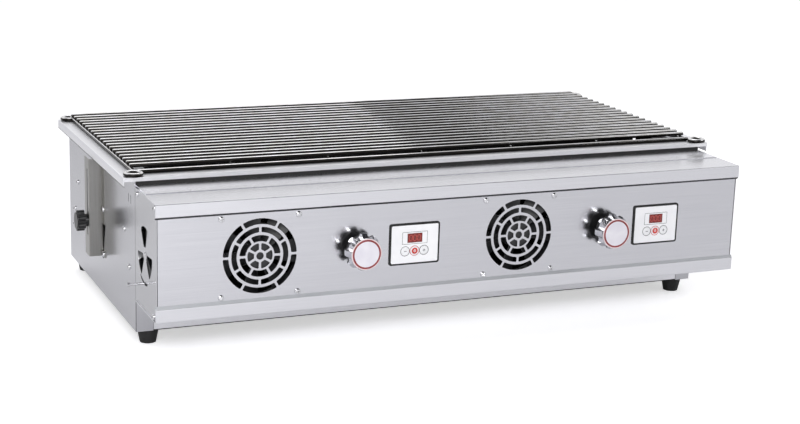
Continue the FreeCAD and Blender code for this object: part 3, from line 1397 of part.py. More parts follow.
def drawer_runners():
    """Angles on the bottom panel that guide the pan's sides."""
    rails = []
    guide = LEFT + S.corner_flange + S.tray_side_gap - S.runner_play - S.sheet
    span = (FRONT + S.sheet * 2, REAR - S.runner_rear_gap)
    for sign, side in ((1, "left"), (-1, "right")):
        foot = box_on_side(f"{side}_runner_foot", sign, (guide - S.runner_foot, guide + S.sheet), span,
                           (DECK, DECK + S.sheet))
        wall = box_on_side(f"{side}_runner_wall", sign, (guide, guide + S.sheet), span,
                           (DECK, DECK + S.runner_height))
        rails.append(join(f"{side}_runner", [foot, wall]))
    node("drawer_runners", group("runners", rails))


def grate():
    """Long bars welded on cross bars, a frame rod in front and behind, and a ring ear on each corner."""
    first_y = FRONT + S.bar_inset
    last_y = REAR - S.bar_inset_rear
    pitch = (last_y - first_y) / (BAR_COUNT - 1)
    cross_pitch = (S.body_length - S.cross_end_inset) / (CROSS_BAR_COUNT - 1)
    offsets = [S.cross_first] + [cross_pitch * index for index in range(1, CROSS_BAR_COUNT)]
    start = LEFT + offsets[0] - S.rod_radius
    end = LEFT + offsets[-1] + S.rod_radius + S.bar_overrun
    bars = [rod(f"bar_{index}", (start, first_y + pitch * index, ROD_HIGH_Z), "+x", S.rod_radius, end - start)
            for index in range(BAR_COUNT)]
    node("grate_bars", group("long_bars", bars))

    front_y = FRONT + S.frame_rod_inset
    rear_y = last_y + S.frame_rod_step
    butt = S.rod_radius - S.weld_sink
    cross = [rod(f"cross_bar_{index}", (LEFT + offset, front_y + butt, ROD_LOW_Z), "+y", S.rod_radius,
                 rear_y - front_y - butt * 2) for index, offset in enumerate(offsets)]
    node("grate_cross_bars", group("cross_bars", cross))

    ear_front = front_y - S.ear_radius - S.rod_radius / 2
    ear_rear = REAR + S.ear_overhang - S.rod_radius - S.ear_radius
    frames = []
    for name, y, ear_y in (("front", front_y, ear_front), ("rear", rear_y, ear_rear)):
        pieces = [rod(f"{name}_frame_rod", (start, y, ROD_LOW_Z), "+x", S.rod_radius, end - start)]
        for index, ear_x in enumerate((LEFT, RIGHT)):
            ear = add("Part::Torus", f"{name}_ear_{index}", Radius1=S.ear_radius, Radius2=S.rod_radius)
            pieces.append(place(ear, (ear_x, ear_y, ROD_LOW_Z)))
        frames.append(join(f"{name}_frame", pieces))
    node("grate_frame_rods", group("frame_rods", frames))


def screws():
    """Pan-head screws, as one group on the console and one on the body."""
    console = []
    for index, side in enumerate(SIDES):
        for spot, (x, z) in enumerate(four_corners(module_x(index, S.vent_offset), MODULE_Z, FAN_SCREW)):
            console.append(screw(f"{side}_vent_screw_{spot}", (x, PANEL, z), "-y", S.screw_length))
    body = []
    for sign, side, outwards in ((1, "left", "-x"), (-1, "right", "+x")):
        for index, (y, z) in enumerate(END_SCREWS):
            console.append(screw(f"{side}_end_screw_{index}", (LEFT * sign, y, z), outwards,
                                 S.side_screw_length))
        for index, (y, z) in enumerate(SIDE_SCREWS):
            body.append(screw(f"{side}_side_screw_{index}", (LEFT * sign, y, z), outwards,
                              S.side_screw_length))
        for index, (y, z) in enumerate(BRACKET_SCREWS):
            spot = ((LEFT - S.sheet) * sign, y, z)
            body.append(screw(f"{side}_bracket_screw_{index}", spot, outwards, S.side_screw_length))
    node("console_screws", group("console_fasteners", console))
    node("body_screws", group("body_fasteners", body))


side_panels()
body_walls()
feet()
rim_frame()
console_shell()
front_panel()
console_ends()
air_shutter()
for index, side in enumerate(SIDES):
    fan_frame(side, module_x(index, S.vent_offset))
    fan_rotor(side, module_x(index, S.vent_offset))
    gas_knob(side, module_x(index, S.knob_offset))
    regulator(side, module_x(index, S.regulator_offset))
gas_train()
power_inlet()
height_brackets()
clamp_knobs()
burner_frame()
tiles = burner("left", -BURNER_X) + burner("right", BURNER_X)
node("ceramic_tiles", group("tiles", tiles))
igniters()
drip_tray()
drawer_runners()
grate()
screws()
DOC.recompute()

for piece in DOC.Objects:
    if "Invalid" in piece.State or "Error" in piece.State:
        raise RuntimeError(f"{piece.Name} did not build: {piece.State}")
faulty = [piece.Label for piece in NODES
          if piece.Shape.isNull() or not piece.Shape.isValid() or not piece.Shape.Solids]
if faulty:
    raise RuntimeError(f"no valid solid in {faulty}")

os.makedirs("parts", exist_ok=True)
for piece in NODES:
    piece.Shape.exportStep(f"parts/{piece.Label}.step")
print(len(NODES), "nodes,", sum(len(piece.Shape.Solids) for piece in NODES), "solids")
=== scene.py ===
import json
import math
import random

import bpy
from mathutils import Matrix, Vector


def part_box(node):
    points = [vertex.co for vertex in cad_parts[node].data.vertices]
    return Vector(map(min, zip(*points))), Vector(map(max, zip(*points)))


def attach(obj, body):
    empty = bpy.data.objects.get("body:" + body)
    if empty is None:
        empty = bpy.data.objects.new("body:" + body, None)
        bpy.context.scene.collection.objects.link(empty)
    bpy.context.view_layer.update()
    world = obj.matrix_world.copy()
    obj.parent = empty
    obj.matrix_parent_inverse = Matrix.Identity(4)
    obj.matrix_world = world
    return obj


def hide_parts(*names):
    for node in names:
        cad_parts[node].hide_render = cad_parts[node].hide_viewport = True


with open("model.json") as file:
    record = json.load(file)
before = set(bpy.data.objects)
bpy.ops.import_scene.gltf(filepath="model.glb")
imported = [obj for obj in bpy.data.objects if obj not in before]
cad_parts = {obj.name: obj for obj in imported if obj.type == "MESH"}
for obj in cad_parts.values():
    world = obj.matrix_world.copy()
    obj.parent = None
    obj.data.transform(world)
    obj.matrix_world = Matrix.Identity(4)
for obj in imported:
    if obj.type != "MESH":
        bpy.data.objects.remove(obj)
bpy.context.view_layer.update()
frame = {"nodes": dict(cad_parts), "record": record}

# A table-top gas grill in polished steel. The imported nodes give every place; this script gives the finishes,
# rounds the folded sheets, and models the knobs, buttons, screws, rods and prints that need a finer form.

MM = 0.001
NODES = frame["nodes"]
SIDES = ("left", "right")
BODY_OF = {node: body for body, members in frame["record"]["behaviour"]["bodies"].items() for node in members}
SLOT_OF = {part["node"]: part["material_slot"] for part in frame["record"]["subparts"]}


# Camera

FRAME_WIDTH = 800
FOCAL_PIXELS = 1689.92
SENSOR = 36.0
CAMERA_PLACE = Vector((-0.971591, -2.244349, 0.742019))
CAMERA_YAW = 0.41034668
CAMERA_PITCH = 0.24798678
CAMERA_ROLL = 0.03294397


def make_camera():
    """The photograph's view: from the front left, a little above the grate."""
    level = Vector((math.sin(CAMERA_YAW), math.cos(CAMERA_YAW), 0))
    side = Vector((math.cos(CAMERA_YAW), -math.sin(CAMERA_YAW), 0))
    up = Vector((0, 0, 1))
    ahead = level * math.cos(CAMERA_PITCH) - up * math.sin(CAMERA_PITCH)
    above = up * math.cos(CAMERA_PITCH) + level * math.sin(CAMERA_PITCH)
    right = side * math.cos(CAMERA_ROLL) + above * math.sin(CAMERA_ROLL)
    top = above * math.cos(CAMERA_ROLL) - side * math.sin(CAMERA_ROLL)
    lens = bpy.data.cameras.new("view")
    lens.sensor_width = SENSOR
    lens.lens = FOCAL_PIXELS * SENSOR / FRAME_WIDTH
    lens.clip_start = 0.05
    lens.clip_end = 60
    camera = bpy.data.objects.new("view", lens)
    bpy.context.scene.collection.objects.link(camera)
    turn = Matrix((right, top, -ahead)).transposed().to_4x4()
    camera.matrix_world = Matrix.Translation(CAMERA_PLACE) @ turn
    bpy.context.scene.camera = camera


# Materials

def linear(code):
    """A shader colour from an sRGB hex value."""
    channels = [int(code[place:place + 2], 16) / 255 for place in (0, 2, 4)]
    return [c / 12.92 if c <= 0.04045 else ((c + 0.055) / 1.055) ** 2.4 for c in channels] + [1.0]


def add_node(tree, kind, values=None, links=None, **settings):
    """One shader node with its settings, its plain socket values and what runs into it."""
    made = tree.nodes.new("ShaderNode" + kind)
    for name, value in settings.items():
        setattr(made, name, value)
    for socket, value in (values or {}).items():
        made.inputs[socket].default_value = value
    for socket, source in (links or {}).items():
        tree.links.new(source, made.inputs[socket])
    return made


def new_material(name):
    material = bpy.data.materials.new(name)
    material.use_nodes = True
    material.node_tree.nodes.clear()
    return material


def close_material(material, shader):
    add_node(material.node_tree, "OutputMaterial", links={"Surface": shader.outputs[0]})
    return material


def ramp_of(tree, factor, stops):
    """A colour ramp through (place, hex) stops."""
    ramp = add_node(tree, "ValToRGB", links={"Fac": factor})
    elements = ramp.color_ramp.elements
    for index, (place, code) in enumerate(stops):
        element = elements[index] if index < 2 else elements.new(place)
        element.position = place
        element.color = linear(code)
    return ramp.outputs["Color"]


def span(tree, factor, low, high):
    """Spread a 0 to 1 factor over a range."""
    mapped = add_node(tree, "MapRange", values={"To Min": low, "To Max": high}, links={"Value": factor})
    return mapped.outputs["Result"]


def noise(tree, size_mm, stretch=(1, 1, 1), detail=2.0):
    """Noise whose features are size_mm across, drawn out along an axis by stretch."""
    coordinates = add_node(tree, "TexCoord")
    scale = tuple(1 / (size_mm * MM * factor) for factor in stretch)
    mapping = add_node(tree, "Mapping", values={"Scale": scale},
                       links={"Vector": coordinates.outputs["Object"]})
    texture = add_node(tree, "TexNoise", values={"Scale": 1.0, "Detail": detail, "Roughness": 0.5},
                       links={"Vector": mapping.outputs["Vector"]})
    return texture.outputs["Fac"]


def bump(tree, height, distance_mm, strength, below=None):
    """Relief of a height pattern, laid over the relief below it where one is given."""
    links = {"Height": height}
    if below is not None:
        links["Normal"] = below
    made = add_node(tree, "Bump", values={"Distance": distance_mm * MM, "Strength": strength}, links=links)
    return made.outputs["Normal"]


# How far the rolling grain is drawn out along the axis it runs on
GRAIN = {"x": (120, 1, 1), "y": (1, 120, 1), "z": (1, 1, 120)}


def parted(tree, value, other, sides, kind="RGBA"):
    """One value over a piece, and another where every (axis, test, place) of the sides holds."""
    coordinates = add_node(tree, "TexCoord")
    parts = add_node(tree, "SeparateXYZ", links={"Vector": coordinates.outputs["Object"]})
    there = None
    for axis, test, place in sides:
        side = add_node(tree, "Math", operation=test, values={1: place}, links={0: parts.outputs[axis]})
        if there:
            both = {0: there.outputs[0], 1: side.outputs[0]}
            side = add_node(tree, "Math", operation="MULTIPLY", links=both)
        there = side
    # A Mix node keeps separate sockets for colours and for numbers
    first, second, result = (6, 7, 2) if kind == "RGBA" else (2, 3, 0)
    mixed = add_node(tree, "Mix", data_type=kind, values={second: other}, links={first: value})
    tree.links.new(there.outputs[0], mixed.inputs[0])
    return mixed.outputs[result]


def bright_annealed_sheet(name, grain, tone, dark, rough=0.2, painted_shade=None, joint=None):
    """Stainless steel sheet with a bright annealed finish: nearly a mirror, with a faint rolling grain.
    A dark tone of painted shade can be given, with a roughness and the sides where the sheet has it: its
    returns and its faces inside the body. Joint gives the tone and the sides of an edge that stands against
    the next sheet."""
    material = new_material(f"bright_annealed_stainless_{name}")
    tree = material.node_tree
    streaks = noise(tree, 0.9, GRAIN[grain], detail=3)
    cloud = noise(tree, 60, detail=1)
    colour = ramp_of(tree, streaks, [(0.25, dark), (0.75, tone)])
    roughness = span(tree, cloud, rough - 0.04, rough + 0.05)
    # A dark tone of painted shade over the given sides
    if painted_shade:
        code, dull, *sides = painted_shade
        colour = parted(tree, colour, linear(code), sides)
        roughness = parted(tree, roughness, dull, sides, kind="FLOAT")
    if joint:
        code, *sides = joint
        colour = parted(tree, colour, linear(code), sides)
    waves = bump(tree, noise(tree, 170, detail=0), 0.25, 0.3)
    fine = bump(tree, streaks, 0.01, 0.4, below=waves)
    shader = add_node(tree, "BsdfPrincipled", values={"Metallic": 1.0},
                      links={"Base Color": colour, "Normal": fine, "Roughness": roughness})
    return close_material(material, shader)


# The depth of a grate rod that keeps its bright colour, from its top; below it the colour is painted shade
CROWN = 1.55 * MM


def polished_rod(node):
    """Ground stainless rod, polished on its top; below that it is painted dark as shade."""
    material = new_material(f"polished_stainless_{node}")
    tree = material.node_tree
    lines = noise(tree, 0.5, (60, 1, 1), detail=2)
    spots = noise(tree, 22, detail=2)
    painted_shade_below = [("Z", "LESS_THAN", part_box(node)[1].z - CROWN)]
    colour = ramp_of(tree, spots, [(0.3, "D2D0CC"), (0.7, "ECECEE")])
    # Below that depth the rod is painted dark: painted shade
    colour = parted(tree, colour, linear("2C2A28"), painted_shade_below)
    roughness = parted(tree, span(tree, spots, 0.06, 0.14), 0.3, painted_shade_below, kind="FLOAT")
    shader = add_node(tree, "BsdfPrincipled", values={"Metallic": 1.0},
                      links={"Base Color": colour, "Roughness": roughness,
                             "Normal": bump(tree, lines, 0.01, 0.4)})
    return close_material(material, shader)


def turned_metal(name, tone, dark, rough, size_mm=4):
    """A machined or plated metal: small differences of tone and gloss."""
    material = new_material(name)
    tree = material.node_tree
    patches = noise(tree, size_mm, detail=3)
    colour = ramp_of(tree, patches, [(0.3, dark), (0.7, tone)])
    roughness = span(tree, patches, rough - 0.05, rough + 0.06)
    shader = add_node(tree, "BsdfPrincipled", values={"Metallic": 1.0},
                      links={"Base Color": colour, "Roughness": roughness,
                             "Normal": bump(tree, patches, 0.01, 0.3)})
    return close_material(material, shader)


# How far in front of the panel the knob's back is painted dark as shade
PAINTED_SHADE_BACK = 17 * MM


def chromed_knob():
    """Bright chrome whose back, turned to the panel and never in the light, is painted dark and dull: painted
    shade.
    """
    material = new_material("chromed_zinc")
    tree = material.node_tree
    patches = noise(tree, 8, detail=3)
    back = [("Y", "GREATER_THAN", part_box("console_front_panel")[0].y - PAINTED_SHADE_BACK)]
    bright = ramp_of(tree, patches, [(0.3, "D2D2D6"), (0.7, "E2E2E5")])
    # The back is painted near black and rough: painted shade
    colour = parted(tree, bright, linear("1A1A1C"), back)
    roughness = parted(tree, span(tree, patches, 0.03, 0.08), 0.4, back, kind="FLOAT")
    shader = add_node(tree, "BsdfPrincipled", values={"Metallic": 1.0},
                      links={"Base Color": colour, "Roughness": roughness,
                             "Normal": bump(tree, patches, 0.01, 0.3)})
    return close_material(material, shader)


def moulded_plastic(name, tone, dark, rough, grit_mm=0.6, depth_mm=0.02, ior=1.53, coat=0.0):
    """An injection-moulded plastic: a fine spark-eroded grain that breaks up its highlights."""
    material = new_material(name)
    tree = material.node_tree
    grit = noise(tree, grit_mm, detail=2)
    patches = noise(tree, 15, detail=2)
    colour = ramp_of(tree, patches, [(0.3, dark), (0.7, tone)])
    roughness = span(tree, patches, rough - 0.03, rough + 0.05)
    shader = add_node(tree, "BsdfPrincipled",
                      values={"IOR": ior, "Coat Weight": coat, "Coat Roughness": 0.08},
                      links={"Base Color": colour, "Roughness": roughness,
                             "Normal": bump(tree, grit, depth_mm, 0.5)})
    return close_material(material, shader)


FLAME_HOLE_PITCH = 2.6 * MM


def perforated_ceramic():
    """Cordierite burner plates: pale, matt, pierced all over by small flame holes painted dark as shade."""
    material = new_material("pierced_cordierite")
    tree = material.node_tree
    coordinates = add_node(tree, "TexCoord")
    across = 1 / FLAME_HOLE_PITCH
    mapping = add_node(tree, "Mapping", values={"Scale": (across, across, across / 400)},
                       links={"Vector": coordinates.outputs["Object"]})
    holes = add_node(tree, "TexVoronoi", values={"Scale": 1.0, "Randomness": 0.0}, voronoi_dimensions="2D",
                     links={"Vector": mapping.outputs["Vector"]})
    # The flame holes are painted dark: painted shade
    colour = ramp_of(tree, holes.outputs["Distance"], [(0.22, "2A2420"), (0.32, "A59D90")])
    shader = add_node(tree, "BsdfPrincipled", values={"Roughness": 0.9},
                      links={"Base Color": colour, "Normal": bump(tree, holes.outputs["Distance"], 0.6, 0.8)})
    return close_material(material, shader)


def tinted_window():
    """A red acrylic window in front of an unlit display."""
    material = new_material("red_tinted_acrylic")
    tree = material.node_tree
    cloud = noise(tree, 6, detail=1)
    colour = ramp_of(tree, cloud, [(0.3, "6C120F"), (0.7, "7C1713")])
    shader = add_node(tree, "BsdfPrincipled",
                      values={"IOR": 1.49, "Coat Weight": 0.6, "Coat Roughness": 0.04},
                      links={"Base Color": colour, "Roughness": span(tree, cloud, 0.12, 0.2)})
    return close_material(material, shader)


def lit_segment():
    """The red light of a display's segments."""
    material = new_material("led_segment")
    tree = material.node_tree
    glow = ramp_of(tree, noise(tree, 2), [(0.2, "B83A30"), (0.8, "C4483C")])
    shader = add_node(tree, "BsdfPrincipled", values={"Emission Strength": 0.05, "Roughness": 0.4},
                      links={"Base Color": glow, "Emission Color": glow})
    return close_material(material, shader)


# Where a sheet's outer face ends and its returns, flanges or edges begin: the bounds of its painted shade and
# dark joints
BODY_LOW, BODY_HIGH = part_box("right_side_panel")
SIDE_X = BODY_HIGH.x - 0.8 * MM
BETWEEN_FLANGES = (("Y", "GREATER_THAN", BODY_LOW.y + 1.4 * MM), ("Y", "LESS_THAN", BODY_HIGH.y - 1.4 * MM))
FRONT_EDGE = ("Y", "LESS_THAN", BODY_LOW.y + 0.8 * MM)
END_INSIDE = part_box("console_left_end")[1].x
RIM_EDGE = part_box("rim_frame")[0].z + 1 * MM
UPPER_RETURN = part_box("console_top_cover")[0].z + 3.2 * MM
LOWER_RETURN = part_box("console_bottom_cover")[1].z - 3.8 * MM

# These sheets are one stainless steel: apart from the grain's direction, their tones differ as painted light
# and shade, lighter on the splash plate, drip tray, rim and console covers and darker on the ends, side
# panels, shutter and bracket
SHEET_X = bright_annealed_sheet("broad", "x", "D4D4D8", "CACACF")
SHEET_SPLASH = bright_annealed_sheet("splash", "x", "F2F2F5", "E8E8EC", 0.24)
SHEET_Y = bright_annealed_sheet("end", "y", "C8C8CB", "BEBEC1")
# The shutter's part inside the console end is painted dark: painted shade
SHEET_SHUTTER = bright_annealed_sheet("shutter", "z", "C8C8CB", "BEBEC1",
                                      painted_shade=("3E3E40", 0.4, ("X", "GREATER_THAN", END_INSIDE)))
SHEET_BRACKET = bright_annealed_sheet("bracket", "z", "A2A19E", "94938F", 0.3)
# The side panels' inner faces between their flanges are painted near black: painted shade. Their dark front
# edge is the joint against the console
SHEET_LEFT = bright_annealed_sheet("left_side", "y", "C8C8CC", "BEBEC2",
                                   painted_shade=("302E2C", 0.4, ("X", "GREATER_THAN", -SIDE_X), *BETWEEN_FLANGES),
                                   joint=("565658", ("X", "LESS_THAN", -SIDE_X), FRONT_EDGE))
SHEET_RIGHT = bright_annealed_sheet("right_side", "y", "C8C8CC", "BEBEC2",
                                    painted_shade=("302E2C", 0.4, ("X", "LESS_THAN", SIDE_X), *BETWEEN_FLANGES),
                                    joint=("565658", ("X", "GREATER_THAN", SIDE_X), FRONT_EDGE))
# The lowest millimetre of the rim, its lip's lower edge, is painted dark: painted shade
SHEET_RIM = bright_annealed_sheet("rim", "x", "F6F6F8", "EDEDF0", 0.42,
                                  painted_shade=("3A3836", 0.4, ("Z", "LESS_THAN", RIM_EDGE)))
# The walls, floor and frame inside the body are painted near black: painted shade of the firebox
SHEET_INSIDE = bright_annealed_sheet("inside_painted_shade", "x", "262422", "1E1C1B", 0.4)
# The top cover's sloping return under its lip is painted dark: painted shade
SHEET_TOP = bright_annealed_sheet("console_top", "x", "E2E2E6", "D8D8DC",
                                  painted_shade=("4C4C4E", 0.4, ("Z", "LESS_THAN", UPPER_RETURN)))
# The bottom cover's sloping return above its lip is painted a little darker: painted shade
SHEET_PAN = bright_annealed_sheet("console_bottom", "x", "E2E2E6", "D8D8DC",
                                  painted_shade=("D4D6DA", 0.6, ("Z", "GREATER_THAN", LOWER_RETURN)))
BARS = polished_rod("grate_bars")
CROSS_RODS = polished_rod("grate_cross_bars")
FRAME_RODS = polished_rod("grate_frame_rods")
SCREW = turned_metal("passivated_stainless_screw", "E4E4E6", "CBCBCE", 0.12, 1.5)
STEEL_PLATED = turned_metal("zinc_plated_steel", "B9BBBE", "9A9CA0", 0.34, 9)
# Burners and flame shields: dulled by heat, and darkened further as painted shade
ALUMINISED = turned_metal("aluminised_steel_heat_dulled_and_painted_shade", "3A3733", "2B2926", 0.42, 14)
BRASS = turned_metal("free_cutting_brass", "CDAA62", "B08C48", 0.27, 5)
CHROME = chromed_knob()
SILVER_FACE = moulded_plastic("silver_lacquered_abs", "E6E4EA", "DCD9E2", 0.3, 0.4, 0.008, coat=0.4)
PINK_RIM = moulded_plastic("translucent_knob_rim", "EAD9DA", "DFCBCD", 0.3, 0.4, 0.005)
RED_PAINT = moulded_plastic("red_enamel_line", "8E2A2C", "7C2022", 0.35, 0.4, 0.005)
BLACK_PLASTIC = moulded_plastic("black_abs", "0E0E0F", "090909", 0.55)
BLACK_FAN = moulded_plastic("black_pbt", "232326", "18181A", 0.5)
PHENOLIC = moulded_plastic("black_phenolic", "161617", "0E0E0F", 0.3, 0.8, 0.01)
RUBBER = moulded_plastic("black_nitrile_rubber", "1A1A1A", "101010", 0.62, 0.9, 0.05, 1.52)
LABEL_FILM = moulded_plastic("white_polyester_film", "F8F8FA", "F3F3F6", 0.32, 0.7, 0.006)
PRINT_INK = moulded_plastic("black_screen_ink", "26262A", "1C1C20", 0.5, 0.3, 0.003)
RED_INK = moulded_plastic("red_screen_ink", "C8322B", "BA2822", 0.45, 0.3, 0.003)
WHITE_BUTTON = moulded_plastic("white_polycarbonate", "F4F4F6", "EEEEF1", 0.22, 0.5, 0.004)
RED_BUTTON = moulded_plastic("red_polycarbonate", "D2382E", "C02C24", 0.22, 0.5, 0.004)
CERAMIC = perforated_ceramic()
PORCELAIN = moulded_plastic("glazed_alumina", "E9E4D8", "DDD6C8", 0.2, 0.5, 0.004)
WINDOW = tinted_window()
SEGMENT = lit_segment()

FINISHES = {
    "satin_steel": SHEET_X,
    "bright_steel_rod": BARS,
    "screw_steel": SCREW,
    "burner_steel": ALUMINISED,
    "white_ceramic": CERAMIC,
    "black_rubber": RUBBER,
    "black_plastic": BLACK_PLASTIC,
    "chromed_knob": CHROME,
    "brass": BRASS,
    "pipe_steel": STEEL_PLATED,
    "white_label": LABEL_FILM,
    "red_window": WINDOW,
    "white_button": WHITE_BUTTON,
    "red_button": RED_BUTTON,
}
OWN_FINISH = {
    "left_side_panel": SHEET_LEFT,
    "right_side_panel": SHEET_RIGHT,
    "rim_frame": SHEET_RIM,
    "inner_front_wall": SHEET_INSIDE,
    "bottom_panel": SHEET_INSIDE,
    "burner_frame": SHEET_INSIDE,
    "console_top_cover": SHEET_TOP,
    "console_bottom_cover": SHEET_PAN,
    "console_left_end": SHEET_Y,
    "console_right_end": SHEET_Y,
    "shutter_disc": SHEET_SHUTTER,
    "left_height_bracket": SHEET_BRACKET,
    "right_height_bracket": SHEET_BRACKET,
    "left_fan_frame": BLACK_FAN,
    "right_fan_frame": BLACK_FAN,
    "left_fan_rotor": BLACK_FAN,
    "right_fan_rotor": BLACK_FAN,
    "grate_cross_bars": CROSS_RODS,
    "grate_frame_rods": FRAME_RODS,
    # The splash plate and drip tray take the lightest sheet tone: painted light
    "splash_plate": SHEET_SPLASH,
    "drip_tray": SHEET_SPLASH,
    # The black rubber seal under the rim's front lip is a dark strip of painted shade
    "rim_front_seal": RUBBER,
    "igniter_electrodes": PORCELAIN,
    "left_clamp_knob": PHENOLIC,
    "right_clamp_knob": PHENOLIC,
    "left_flame_shield": ALUMINISED,
    "right_flame_shield": ALUMINISED,
}


def finish_of(node):
    return OWN_FINISH.get(node, FINISHES[SLOT_OF[node]])


def coat(piece, material):
    piece.data.materials.clear()
    piece.data.materials.append(material)
    return piece


def finish_cad_nodes():
    for name, piece in NODES.items():
        coat(piece, finish_of(name))


# Tools of the modelling bench

def deselect():
    if bpy.context.object and bpy.context.object.mode != "OBJECT":
        bpy.ops.object.mode_set(mode="OBJECT")
    bpy.ops.object.select_all(action="DESELECT")


def take(piece):
    deselect()
    piece.select_set(True)
    bpy.context.view_layer.objects.active = piece
    return piece


def edit(piece, elements="FACE"):
    take(piece)
    bpy.ops.object.mode_set(mode="EDIT")
    bpy.ops.mesh.select_mode(type=elements)


def leave():
    bpy.ops.object.mode_set(mode="OBJECT")


def primitive(kind, name, **settings):
    """A primitive at its size and place, its place taken into its mesh."""
    deselect()
    getattr(bpy.ops.mesh, f"primitive_{kind}_add")(**settings)
    piece = bpy.context.object
    piece.name = name
    piece.data.name = name
    bpy.ops.object.transform_apply(location=True, rotation=True, scale=True)
    return piece


def block(name, low, high):
    low, high = Vector(low), Vector(high)
    return primitive("cube", name, size=1, location=(low + high) / 2, scale=high - low)


def modify(piece, kind, **settings):
    """Add a modifier and apply it."""
    modifier = piece.modifiers.new(kind.title(), kind)
    for name, value in settings.items():
        setattr(modifier, name, value)
    take(piece)
    bpy.ops.object.modifier_apply(modifier=modifier.name)
    return piece


def rounded(piece, width_mm, segments=3, angle=35):
    """Round every edge sharper than the angle."""
    return modify(piece, "BEVEL", width=width_mm * MM, segments=segments, limit_method="ANGLE",
                  angle_limit=math.radians(angle), harden_normals=False)


def smooth(piece, angle=35):
    take(piece)
    bpy.ops.object.shade_smooth_by_angle(angle=math.radians(angle))
    return piece


AIM = {
    "-y": Matrix.Rotation(math.pi / 2, 4, "X"),
    "-x": Matrix.Rotation(-math.pi / 2, 4, "Y"),
    "+x": Matrix.Rotation(math.pi / 2, 4, "Y"),
}


def turned(name, steps, sides=64):
    """A round piece about Z, as on a lathe: a disc drawn out through (height, radius) steps, in mm."""
    height, radius = steps[0]
    piece = primitive("circle", name, vertices=sides, radius=radius * MM, location=(0, 0, height * MM),
                      fill_type="NGON")
    edit(piece)
    bpy.ops.mesh.select_all(action="SELECT")
    for next_height, next_radius in steps[1:]:
        rise = (0, 0, (next_height - height) * MM)
        bpy.ops.mesh.extrude_region_move(TRANSFORM_OT_translate={"value": rise})
        bpy.ops.transform.resize(value=(next_radius / radius,) * 3,
                                 center_override=(0, 0, next_height * MM))
        height, radius = next_height, next_radius
    bpy.ops.mesh.select_all(action="SELECT")
    bpy.ops.mesh.normals_make_consistent(inside=False)
    leave()
    return piece


def aim(piece, direction, spot):
    """Turn a piece made about Z to look in a direction and set it at its spot."""
    piece.data.transform(Matrix.Translation(Vector(spot)) @ AIM[direction])
    piece.data.update()
    return piece


def copy_of(piece, name):
    twin = piece.copy()
    twin.data = piece.data.copy()
    twin.name = name
    twin.data.name = name
    bpy.context.scene.collection.objects.link(twin)
    return twin


def shift(piece, offset):
    piece.data.transform(Matrix.Translation(Vector(offset)))
    return piece


def join(name, pieces):
    """Make one piece of several."""
    deselect()
    for piece in pieces:
        piece.select_set(True)
    bpy.context.view_layer.objects.active = pieces[0]
    if len(pieces) > 1:
        bpy.ops.object.join()
    pieces[0].name = name
    pieces[0].data.name = name
    return pieces[0]


def carve(piece, cutter):
    """Take the cutter's form out of a piece and remove the cutter."""
    modify(piece, "BOOLEAN", operation="DIFFERENCE", object=cutter, solver="EXACT")
    bpy.data.objects.remove(cutter)
    return piece


def stand_for(piece, *nodes, material=None):
    """Show a piece instead of its nodes, on their body and with their finish."""
    coat(piece, material or finish_of(nodes[0]))
    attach(piece, BODY_OF[nodes[0]])
    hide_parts(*nodes)
    return piece


def dress(piece, body, material):
    """A detail that a node carries."""
    coat(piece, material)
    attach(piece, body)
    return piece


# Folded sheets

CUT_EDGE = 0.2
SAME_POINT = 0.002 * MM
FLAT_WITHIN = math.radians(0.5)


def merged_copy(node):
    """A copy of a node's mesh whose loose triangles are joined into flat faces."""
    piece = copy_of(NODES[node], node + "_finished")
    piece.parent = None
    for key in list(piece.keys()):
        del piece[key]
    edit(piece)
    bpy.ops.mesh.select_all(action="SELECT")
    bpy.ops.mesh.remove_doubles(threshold=SAME_POINT)
    bpy.ops.mesh.dissolve_limited(angle_limit=FLAT_WITHIN)
    bpy.ops.mesh.customdata_custom_splitnormals_clear()
    leave()
    return piece


def soften_sheet(node):
    """A folded sheet with eased cut edges and smooth bends."""
    piece = smooth(rounded(merged_copy(node), CUT_EDGE, segments=2, angle=60), 50)
    modify(piece, "WEIGHTED_NORMAL", weight=80, keep_sharp=True)
    return stand_for(piece, node)


FOLDED = ("rim_frame", "console_top_cover", "console_bottom_cover", "splash_plate",
          "left_side_panel", "right_side_panel", "left_height_bracket", "right_height_bracket",
          "drip_tray", "console_left_end", "console_right_end", "shutter_disc")
ROUND = ("grate_cross_bars", "grate_frame_rods", "rubber_feet", "shutter_rivet", "left_clamp_knob",
         "right_clamp_knob")


def smooth_round(node):
    """A turned or bent piece whose curves are shaded smooth."""
    return stand_for(smooth(merged_copy(node), 40), node)


# Screws

HEAD_STEPS = [(0, 4.0), (0.7, 4.0), (1.5, 3.7), (2.1, 2.9), (2.4, 1.6)]
RECESS_HALF_LENGTH, RECESS_HALF_WIDTH = 2.3, 0.5
RECESS_FLOOR, RECESS_TOP = 1.0, 3
SHANK_RADIUS = 2.0
VENT_SHANK, BODY_SHANK = 8, 5


def pan_head_screw(name, shank_mm):
    """A pan head with a cross recess, looking along +Z, its underside at the origin."""
    head = turned("pan_head", HEAD_STEPS, 32)
    arms = ((RECESS_HALF_LENGTH, RECESS_HALF_WIDTH), (RECESS_HALF_WIDTH, RECESS_HALF_LENGTH))
    for index, (half_x, half_y) in enumerate(arms):
        carve(head, block(f"recess_{index}", (-half_x * MM, -half_y * MM, RECESS_FLOOR * MM),
                          (half_x * MM, half_y * MM, RECESS_TOP * MM)))
    shank = turned("shank", [(-shank_mm, SHANK_RADIUS), (0.2, SHANK_RADIUS)], 16)
    return smooth(join(name, [head, shank]), 40)


# Places in mm: (behind the lip or the body's front, above the console's floor)
FAN_SCREW_HALF_PITCH = 52.5
SIDE_SCREWS = ((60.2, 83.5), (34.4, 37.1), (340.8, 84.1), (362.3, 38.7), (366.1, 14.2))
BRACKET_SCREW_RISES = (82.4, 17)
END_SCREWS = ((96.4, 148.2), (8.8, 150.4), (13.9, 5.5))
BRACKET_FOOT = 14
BRACKET_SHEET = 1.2


